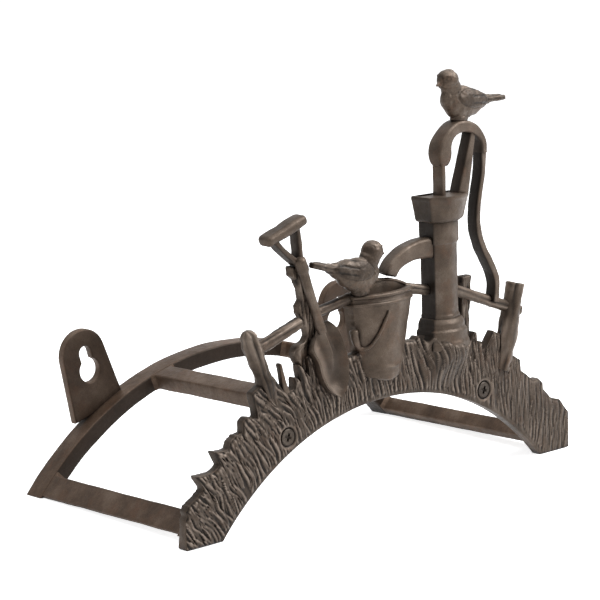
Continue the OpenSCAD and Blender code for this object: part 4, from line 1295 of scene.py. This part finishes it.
pump = {
    "x": 52.5,
    "deep": 6.6,           # its middle in front of the panel's back
    "baseR": 18.5,
    "barrelR": 12.3,
    "hopperR": 20.8,
    "hopperTop": 131.0,
    "hopperH": 18.0,
    "baseLow": 26.0,
    "baseTop": 47.0,
    "neckLow": 98.0,
    "flank": 0.91,         # half width of the column, as a share of its size
    "crease": 0.5,
    "bow": 0.36,
    "shade": (0.12, 0.62, 0.12),  # dirt everywhere, and where the painted shade of the left side starts
    "spout": [(45.0, 95.6), (37.0, 96.2), (29.5, 96.2), (20.0, 94.7), (11.6, 91.5), (6.4, 88.0), (3.4, 84.2),
              (2.6, 82.6)],
    "spoutHalf": [7.4, 7.0, 6.4, 5.8, 5.4, 5.0, 4.8, 4.8],
    "spoutDeep": 5.8,
    "spoutCorner": 0.42,
    "spoutMouth": [(0.86, 0.3, 0.1), (0.74, -0.4, 0.8), (0.68, -3.0, 1.0), (0.1, -3.6, 1.0)],  # size, depth and painted shade inside the mouth
    "spoutShade": ((0.35, 3.0), (0.45, 0.72, 0.25)),  # painted shade on the far side, and from there on along the spout
    "spoutRough": [(0.3, 8.0, 3.0)],
    "rodX": 54.2,
    "rodW": 4.2,
    "rodRough": [(0.25, 6.0, 2.0)],
    "neckMid": (73.0, 158.0),
    "neckR": 21.0,
    "neckThick": 8.0,
    "neckDepth": 12.5,
    "neckSteps": 36,
    "neckFlare": 2.3,      # the arc widens towards the lever
    "neckBulb": (2.8, 0.16, 1.6, 0.12),  # swelling at the left end, outwards and inwards, each with its reach
    "neckEnd": [(8.5, 0.52), (8.2, 0.40), (7.0, 0.27), (5.0, 0.13), (2.6, 0.04)],  # drop, and how far it draws in
    "neckRough": [(0.35, 8.0, 5.0)],
    "rib": 4.5,
    "leverDepth": 9.5,
    "corner": 1.2,
    "lever": [(94.4, 158.0), (93.4, 144.0), (91.0, 132.0), (88.6, 122.0), (87.4, 111.0), (88.2, 101.0),
              (92.0, 90.5), (98.4, 79.5), (103.4, 70.5), (105.4, 62.0), (104.0, 50.0)],
    "leverRough": [(0.25, 7.0, 8.0)],
    "strutTop": (84.5, 172.0),
    "strutFoot": (76.0, 128.0),
    "strutFlare": 6.5,
    "ribShade": (0.95, 0.7),  # painted shade on the left sides of the lever and of the strut
    "strutRough": [(0.25, 7.0, 4.0)],
}
pumpY = panelBack - pump["deep"]


def castColumn(name, node, profile, seed, dark=0.8):  # from (size, height): flat flanks and a low round front
    p = pump
    rings = []
    for r, h in profile:
        half, corner, back = p["flank"] * r, pumpY - p["crease"] * r, min(panelBack, pumpY + r)
        ring = [at(p["x"] + half * u, h, corner - p["bow"] * r * (1 - u * u)) for u in spread(-1, 1, 24)]
        ring += [at(p["x"] + half, h, lerp(corner, back, k / 6)) for k in range(1, 7)]
        ring += [at(p["x"] + half * (1 - k / 8), h, back) for k in range(1, 16)]
        rings.append(ring + [at(p["x"] - half, h, lerp(back, corner, k / 6)) for k in range(6)])
    even, start, span = p["shade"]
    bm = bmesh.new()
    addRings(bm, rings)
    # dark sets the painted shade on the sides that face left, over the even dirt
    makePiece(name, bm, [node], 38.0, rough=[(0.35, 9.0, seed), (0.12, 3.0, seed + 1)],
              cavityAndShade=lambda v: even + dark * rise(-v.normal.x, start, span))


def softProfile(points, radius):  # a profile of (radius, height) with its corners eased, densely stepped
    corners = [Vector((r, h, 0)) for r, h in points]
    out = [points[0]]
    for a, p, b in zip(corners, corners[1:], corners[2:]):
        a, b = a - p, b - p
        reach = min(radius, 0.45 * a.length, 0.45 * b.length)
        for t in (0.0, 0.5, 1.0):
            q = (p + a.normalized() * reach * (1 - t)).lerp(p + b.normalized() * reach * t, t)
            out.append((q.x, q.y))
    out.append(points[-1])
    dense = []
    for (r0, h0), (r1, h1) in zip(out, out[1:]):
        count = max(1, int(abs(h1 - h0) / 3.0))
        dense += [(lerp(r0, r1, k / count), lerp(h0, h1, k / count)) for k in range(count)]
    return dense + [out[-1]]


def buildPumpBody():
    p = pump
    base, barrel, wide = p["baseR"], p["barrelR"], p["hopperR"]
    foot, floor, neck = p["baseLow"], p["baseTop"], p["neckLow"]
    top, low = p["hopperTop"], p["hopperTop"] - p["hopperH"]
    castColumn("pumpBase", "pump_base", softProfile([
        (0.5, foot), (base + 1.2, foot), (base + 1.2, 30.5), (base, 32.5), (base, 38.5), (base - 1.8, 40.0),
        (base - 1.8, 43.5), (barrel + 1.8, floor), (0.5, floor)], 0.9), 1.0)
    castColumn("pumpBarrel", "pump_barrel", softProfile([
        (0.5, floor - 1), (barrel + 0.9, floor - 1), (barrel + 0.9, floor + 1.5), (barrel, floor + 3),
        (barrel, neck - 0.5), (barrel + 1.3, neck + 0.8), (barrel + 1.3, low + 0.5), (0.5, low + 0.5)], 0.7), 4.0)
    castColumn("pumpHopper", "pump_hopper", softProfile([
        (0.5, low), (barrel + 2.6, low), (wide - 3.6, low + 1.8), (wide - 0.7, top - 3.2), (wide, top - 2.2),
        (wide, top), (wide - 2.0, top), (wide - 3.0, top - 1.0), (0.5, top - 1.0)], 0.8), 7.0, 0.55)


def buildSpout():
    p = pump
    path = smoothPath([at(x, h, pumpY) for x, h in p["spout"]], 7)
    corners = [Vector((s, f, 0)) for s, f in ((-1, -1), (1, -1), (1, 1), (-1, 1))]
    section = [(q.x, q.y) for q in roundCorners(corners, p["spoutCorner"])]
    bm = newSkin()
    marks = bm.verts.layers.float["cavityAndShade"]
    loops = sweep(bm, path, section, radiusAlong(p["spoutHalf"]), lambda t: p["spoutDeep"], endCap=False)
    (far, reach), (low, *fade) = p["spoutShade"]
    for i, loop in enumerate(loops):
        middle = sum((v.co for v in loop), Vector()) / len(loop)
        for v in loop:
            # painted shade on the far side and along the spout's last stretch
            v[marks] = far * rise(v.co.y, middle.y, reach) + low * rise(i / len(loops), *fade)
    mouth, along = path[-1], (path[-1] - path[-3]).normalized()
    rim = loops[-1]
    for share, up, dirtAndShade in p["spoutMouth"]:
        inner = [bm.verts.new(mouth + (v.co - mouth) * share + along * up) for v in loops[-1]]
        bridge(bm, rim, inner)
        rim = inner
        # painted shade inside the mouth
        for v in rim:
            v[marks] = dirtAndShade
    bm.faces.new(rim)
    makePiece("pumpSpout", bm, ["pump_spout"], 50.0, rough=p["spoutRough"])


def leftShade(share):  # painted shade on the sides that face left
    return lambda v: share * rise(-v.normal.x, 0.4, 0.3)


def buildRod():
    p = pump
    bm = bmesh.new()
    path = [at(p["rodX"], h, pumpY) for h in spread(p["hopperTop"] - 2, p["neckMid"][1] + 1, 12)]
    sweep(bm, path, softRect(p["rodW"], p["leverDepth"], p["corner"]))
    makePiece("pumpRod", bm, ["pump_rod"], 50.0, rough=p["rodRough"])


def buildGooseneck():  # its thick left end is blunt, and its right end narrows into the lever
    p = pump
    mx, mh = p["neckMid"]
    thick, outward, outReach, inward, inReach = p["neckThick"], *p["neckBulb"]
    rings = []
    for t in spread(0, 1, p["neckSteps"]):
        a = math.pi * (1 - t)  # from the left end over the top to the right
        middle = p["neckR"] + p["neckFlare"] * rise(t, 0.55, 0.45)
        outer = middle + outward * bell(t, 0, outReach)
        inner = middle - lerp(thick, p["rib"] + 1.0, rise(t, 0.5, 0.5)) - inward * bell(t, 0, inReach)
        out, r = Vector((math.cos(a), 0, math.sin(a))), (outer + inner) / 2
        rings.append([at(mx, mh, pumpY) + out * (r + s) + Vector((0, -f, 0))
                      for s, f in softRect(outer - inner, p["neckDepth"], 1.7)])
    rod = at(mx - p["neckR"] + thick / 2, mh, pumpY)
    start = [[(q - Vector((0, 0, drop))).lerp(Vector((rod.x, rod.y, q.z - drop)), share) for q in rings[0]]
             for drop, share in p["neckEnd"]]
    bm = bmesh.new()
    addRings(bm, start + rings + [[q - Vector((0, 0, 3)) for q in rings[-1]]])
    # painted shade on the faces that turn in towards the arc's middle
    makePiece("pumpGooseneck", bm, ["pump_gooseneck"], 50.0, rough=p["neckRough"],
              cavityAndShade=lambda v: 0.6 * rise((mx - v.co.x) * v.normal.x, 2.0, 6.0))


def buildLever():
    p = pump
    path = smoothPath([at(x, h, pumpY) for x, h in p["lever"]], 6)
    bm = bmesh.new()
    sweep(bm, path, softRect(p["rib"], p["leverDepth"], p["corner"]),
          lambda t: 0.88 + 0.3 * smoothStep(t * 1.3) + 0.3 * smoothStep(1 - t * 9), lambda t: 1.0)
    makePiece("pumpLever", bm, ["pump_lever"], 50.0, rough=p["leverRough"], cavityAndShade=leftShade(p["ribShade"][0]))


def buildStrut():  # it spreads at its foot
    p = pump
    (tx, th), (fx, fh), half = p["strutTop"], p["strutFoot"], p["rib"] / 2
    rings = []
    for t in spread(0, 1, 14):
        left, right = lerp(fx - half - p["strutFlare"], tx - half, t), lerp(fx, tx, t) + half
        rings.append([at((left + right) / 2 + s, lerp(fh, th, t), pumpY - f)
                      for s, f in softRect(right - left, p["leverDepth"], p["corner"])])
    bm = bmesh.new()
    addRings(bm, rings)
    makePiece("pumpStrut", bm, ["pump_strut"], 50.0, rough=p["strutRough"], cavityAndShade=leftShade(p["ribShade"][1]))


buildPumpBody()
buildSpout()
buildRod()
buildGooseneck()
buildLever()
buildStrut()
print("pump done")


# Birds

bird = {
    "head": 7.7,
    "voxel": 0.5,
    "smoothing": 4,
    "pivot": 12,           # height about which a stooping body turns
    "shoulder": (5.0, 0, 17.0),
    "body": [  # along, middle height, half height, half thickness, from the tail's end to the breast
        (-44.6, 11.4, 0.8, 1.2), (-43.6, 11.4, 2.2, 3.0), (-40.0, 11.5, 2.6, 3.5), (-33.0, 11.6, 2.7, 3.2),
        (-27.0, 11.5, 3.6, 3.4), (-21.0, 11.2, 5.6, 4.6), (-13.0, 11.0, 9.2, 6.4), (-5.0, 11.4, 11.4, 7.4),
        (2.0, 12.0, 11.8, 7.6), (8.0, 12.8, 10.4, 6.9), (12.5, 14.2, 7.4, 5.2), (15.0, 15.4, 4.2, 3.2),
        (16.2, 15.8, 0.8, 0.8),
    ],
    "eye": ((0.56, 0.62, 0.16), (1.25, 0.9, 1.2)),   # place as shares of the head, and size
    "brow": ((0.42, 0.60, 0.42), (2.4, 0.9, 0.9)),
    "toes": (-2.0, 1.0),
    "belly": ((0.5, 0, 0.8), (7.0, 5.6, 3.4)),
    "wing": ((-9.0, 14.0), 16.0, 6.6, 9.0),  # middle, half length, half height, and slope in degrees
    "wingRise": 0.7,
    "feathers": 0.38,      # depths of the grooves: in the wing, round it, in the tail, on the head, eye and bill
    "wingEdge": 0.28,
    "tailRibs": 0.45,
    "crown": 0.16,
    "eyeRing": 0.3,
    "billEdge": 0.3,
    "tailFrom": -24,
    "rough": [(0.22, 2.0, 1.0), (0.35, 6.0, 9.0)],
}


def tube(bm, place, points, sizes, count=10):  # sizes are half width and half height
    addRings(bm, [[place @ (p + Vector((0, y, z))) for y, z in ellipse(*size, count)]
                  for p, size in zip(points, sizes)])


def blob(bm, centre, size, place, count=(14, 20)):  # an ellipsoid
    rings = []
    for i in range(1, count[0]):
        a = math.pi * i / count[0]
        rings.append([place @ (centre + Vector((x, y, size[2] * math.cos(a))))
                      for x, y in ellipse(size[0] * math.sin(a), size[1] * math.sin(a), count[1])])
    addRings(bm, rings)


def birdSkin(place, body, head, shoulder):
    d = bird
    r = d["head"]
    path = smoothPath([Vector((s[0], 0, s[1])) for s in d["body"]], 5)
    tall, wide = (radiusAlong([s[k] for s in d["body"]]) for k in (2, 3))
    bm = bmesh.new()
    shares = [i / (len(path) - 1) for i in range(len(path))]
    tube(bm, body, path, [(wide(t), tall(t)) for t in shares], 24)
    blob(bm, head, (r * 1.02, r * 0.93, r * 0.98), place)
    blob(bm, head.lerp(shoulder, 0.5), (r * 0.98, r * 0.86, r * 0.98), place)
    blob(bm, head + Vector((r * 0.45, 0, -r * 0.22)), (r * 0.66, r * 0.58, r * 0.55), place)
    tip, root = head + Vector((r * 1.52, 0, -r * 0.42)), head + Vector((r * 0.80, 0, -r * 0.16))
    tube(bm, place, [root, root.lerp(tip, 0.5), tip], [(2.3, 2.3), (1.5, 1.5), (0.35, 0.35)])
    for side in (-1, 1):
        for (x, y, z), size in (d["eye"], d["brow"]):
            blob(bm, head + Vector((r * x, side * r * y, r * z)), size, place, (8, 10))
        for toe in d["toes"]:
            points = [(toe, side * 2.6, 3.0), (toe + 1.5, side * 2.9, -0.4), (toe + 4.0, side * 3.0, -1.6)]
            tube(bm, place, [Vector(p) for p in points], [(1.6, 1.6), (1.3, 1.3), (0.9, 0.9)])
    blob(bm, Vector(d["belly"][0]), d["belly"][1], place)
    return fused(bm, d["voxel"], d["smoothing"])


def carving(q, h, normal):  # cut depth, and how far inside the wing; q is in the body's frame, h from the head
    (wx, wz), wingLong, wingHigh, slope = bird["wing"]
    r = bird["head"]
    c, s = math.cos(math.radians(slope)), math.sin(math.radians(slope))
    u, w = ((q.x - wx) * c + (q.z - wz) * s) / wingLong, (-(q.x - wx) * s + (q.z - wz) * c) / wingHigh
    flank = rise(abs(normal.y), 0.15, 0.35)
    oval = math.sqrt(u * u + w * w * (1.0 + 0.5 * max(0.0, -u)))
    inWing = rise(oval, 1.0, -0.10) * flank
    feathers = max(0.0, math.sin(w * 9.0 + 2.2 * u)) ** 2 * rise(u, 0.25, -0.2)
    cut = inWing * bird["feathers"] * feathers + bird["wingEdge"] * bell(oval, 1.03, 0.06) * flank
    if q.x < bird["tailFrom"]:
        cut += bird["tailRibs"] * max(0.0, math.cos(q.z * 2.6 - 4.0)) ** 2 * rise(q.x, bird["tailFrom"], -3)
    cut += max(0.0, math.sin(h.x * 1.3 + 1.2 * math.cos(h.z * 1.1))) ** 2 * rise(h.z, 0.5, 2.5) * bird["crown"]
    ex, _, ez = bird["eye"][0]
    ring = math.hypot(h.x - r * ex, h.z - r * ez) - 1.4
    cut += bird["eyeRing"] * math.exp(-ring ** 2 / 0.3) * rise(abs(h.y), r * 0.45, 1.0)
    if h.length < 1.25 * r:  # where the bill meets the face
        cut += bird["billEdge"] * bell(h.x, r * 0.92, 0.5) * rise(abs(h.y), r * 0.55, -1.0)
    return cut, inWing


def buildBird(name, node, place, stoop, headAt):
    d = bird
    up = Vector((0, 0, d["pivot"]))
    lean = Matrix.Translation(up) @ Matrix.Rotation(math.radians(stoop), 4, "Y") @ Matrix.Translation(-up)
    body, head = place @ lean, Vector((headAt[0], 0, headAt[1]))
    skin = birdSkin(place, body, head, lean @ Vector(d["shoulder"]))
    intoBody, intoPlace = body.inverted(), place.inverted()
    skin.normal_update()
    marks, worn = skin.verts.layers.float.new("cavityAndShade"), skin.verts.layers.float.new("wearAndHighlight")
    for v in skin.verts:
        q = intoBody @ v.co
        cut, inWing = carving(q, intoPlace @ v.co - head, v.normal)
        v.co += v.normal * (d["wingRise"] * inWing - cut)
        mottle = max(0.0, noise.noise(Vector((q.x * 0.45, q.y * 0.45, q.z * 0.7 + 3.0))))
        # grooves, wing and tail darker, random mottling, and darker towards the bottom
        dirtAndShade = 1.4 * cut + 0.42 * inWing + 0.25 * rise(q.x, -15, -8) + 0.5 * mottle + 0.4 * rise(q.z, 5.0, -6.0)
        v[marks] = min(1.0, dirtAndShade)
        # painted highlight on the faces that turn upwards
        v[worn] = 0.3 * rise(v.normal.z, 0.35, 0.5)
    makePiece(name, skin, [node], 180.0, rough=d["rough"])


facingLeft = Matrix.Translation(at(75.0, 179.2, pumpY)) @ Matrix.Diagonal((-1, 1, 1, 1))
buildBird("bucketBird", "bucket_bird", Matrix.Translation(at(-27.0, 75.0, panelBack - 10.5)), 17, (12.4, 26.0))
buildBird("pumpBird", "pump_bird", facingLeft, 0, (10.7, 27.5))
print("birds done")


# Floor, light and camera

stage = {
    "floorColour": (0.93, 0.93, 0.93),
    "floorRough": 0.9,
    "floorSize": 8.0,
    "floorGlow": 0.82,
    "ambient": 0.27,
    "ambientColour": (0.80, 0.82, 0.86),
    "aim": (0.0, -0.12, 0.02),
    "lamps": {  # azimuth and elevation, distance, size and power
        "key": ((48, 40), 1.6, 0.9, 36.0),
        "fill": ((-70, 25), 2.0, 1.4, 3.0),
        "top": ((-20, 80), 1.7, 1.2, 14.0),
    },
}


def pickSeen(tree, plain, seen, output):  # seen is for rays from the camera and those seen in metal or glass
    path = newNode(tree, "ShaderNodeLightPath")
    direct = path.outputs["Is Camera Ray"]
    for kind in ("Is Glossy Ray", "Is Transmission Ray"):
        most = newNode(tree, "ShaderNodeMath", operation="MAXIMUM")
        tree.links.new(direct, most.inputs[0])
        tree.links.new(path.outputs[kind], most.inputs[1])
        direct = most.outputs[0]
    pick = newNode(tree, "ShaderNodeMixShader")
    tree.links.new(direct, pick.inputs["Fac"])
    tree.links.new(plain.outputs[0], pick.inputs[1])
    tree.links.new(seen.outputs[0], pick.inputs[2])
    tree.links.new(pick.outputs[0], tree.nodes[output].inputs["Surface"])


def buildFloor():
    frontSole = Vector((0, plateFront * mm, arch["soleZ"] * mm))
    rearSole = Vector((0, wallY * mm, cradle["soleZ"] * mm))
    tilt = math.atan2(rearSole.z - frontSole.z, rearSole.y - frontSole.y)
    bpy.ops.mesh.primitive_plane_add(size=stage["floorSize"], location=frontSole, rotation=(tilt, 0, 0))
    floor = bpy.context.object
    floor.name = "floor"
    mat = bpy.data.materials.new("floorPaint")
    mat.use_nodes = True
    tree = mat.node_tree
    shader = tree.nodes["Principled BSDF"]
    feed(tree, shader, **{"Base Color": stage["floorColour"], "Roughness": stage["floorRough"]})
    glow = newNode(tree, "ShaderNodeEmission")
    feed(tree, glow, Strength=stage["floorGlow"])
    total = newNode(tree, "ShaderNodeAddShader")
    tree.links.new(shader.outputs[0], total.inputs[0])
    tree.links.new(glow.outputs[0], total.inputs[1])
    pickSeen(tree, shader, total, "Material Output")
    floor.data.materials.append(mat)


def buildWorld():
    world = bpy.data.worlds.new("studio")
    bpy.context.scene.world = world
    world.use_nodes = True
    tree = world.node_tree
    feed(tree, tree.nodes["Background"], Color=stage["ambientColour"], Strength=stage["ambient"])
    white = newNode(tree, "ShaderNodeBackground")
    feed(tree, white, Color=(1, 1, 1), Strength=1.0)
    pickSeen(tree, tree.nodes["Background"], white, "World Output")


def buildLamp(name, direction, distance, size, power):
    light = bpy.data.lights.new(name, "AREA")
    light.shape = "DISK"
    light.size = size
    light.energy = power
    lamp = newObject(name, light)
    azimuth, elevation = (math.radians(v) for v in direction)
    out = Vector((math.sin(azimuth) * math.cos(elevation), -math.cos(azimuth) * math.cos(elevation),
                  math.sin(elevation)))
    lamp.location = Vector(stage["aim"]) + out * distance
    lamp.rotation_mode = "QUATERNION"
    lamp.rotation_quaternion = (-out).to_track_quat("-Z", "Y")


camera = {  # fitted to the photograph's 600 by 600 frame, in millimetres and pixels
    "azimuth": -42.511,
    "elevation": 10.091,
    "roll": -1.848,
    "focal": 2469.72,
    "distance": 1686.438,
    "right": -66.542,
    "up": 261.786,
    "origin": (0.0, 180.0, 215.0),
    "frame": 600.0,
    "sensor": 36.0,
}


def buildCamera():
    c = camera
    a, e, roll = (math.radians(c[key]) for key in ("azimuth", "elevation", "roll"))
    back = Vector((math.sin(a) * math.cos(e), -math.cos(a) * math.cos(e), math.sin(e)))
    right = Vector((math.cos(a), math.sin(a), 0))
    up = back.cross(right)
    right, up = right * math.cos(roll) + up * math.sin(roll), up * math.cos(roll) - right * math.sin(roll)
    data = bpy.data.cameras.new("camera")
    data.sensor_width = c["sensor"]
    data.lens = c["focal"] / c["frame"] * data.sensor_width
    eye = newObject("camera", data)
    spot = (right * c["right"] + up * c["up"] + back * c["distance"] - Vector(c["origin"])) * mm
    eye.matrix_world = Matrix([(right[k], up[k], back[k], spot[k]) for k in range(3)] + [(0, 0, 0, 1)])
    bpy.context.scene.camera = eye


buildFloor()
buildWorld()
for name, values in stage["lamps"].items():
    buildLamp(name, *values)
buildCamera()
bpy.context.scene.view_settings.view_transform = "Standard"
print("stage done")
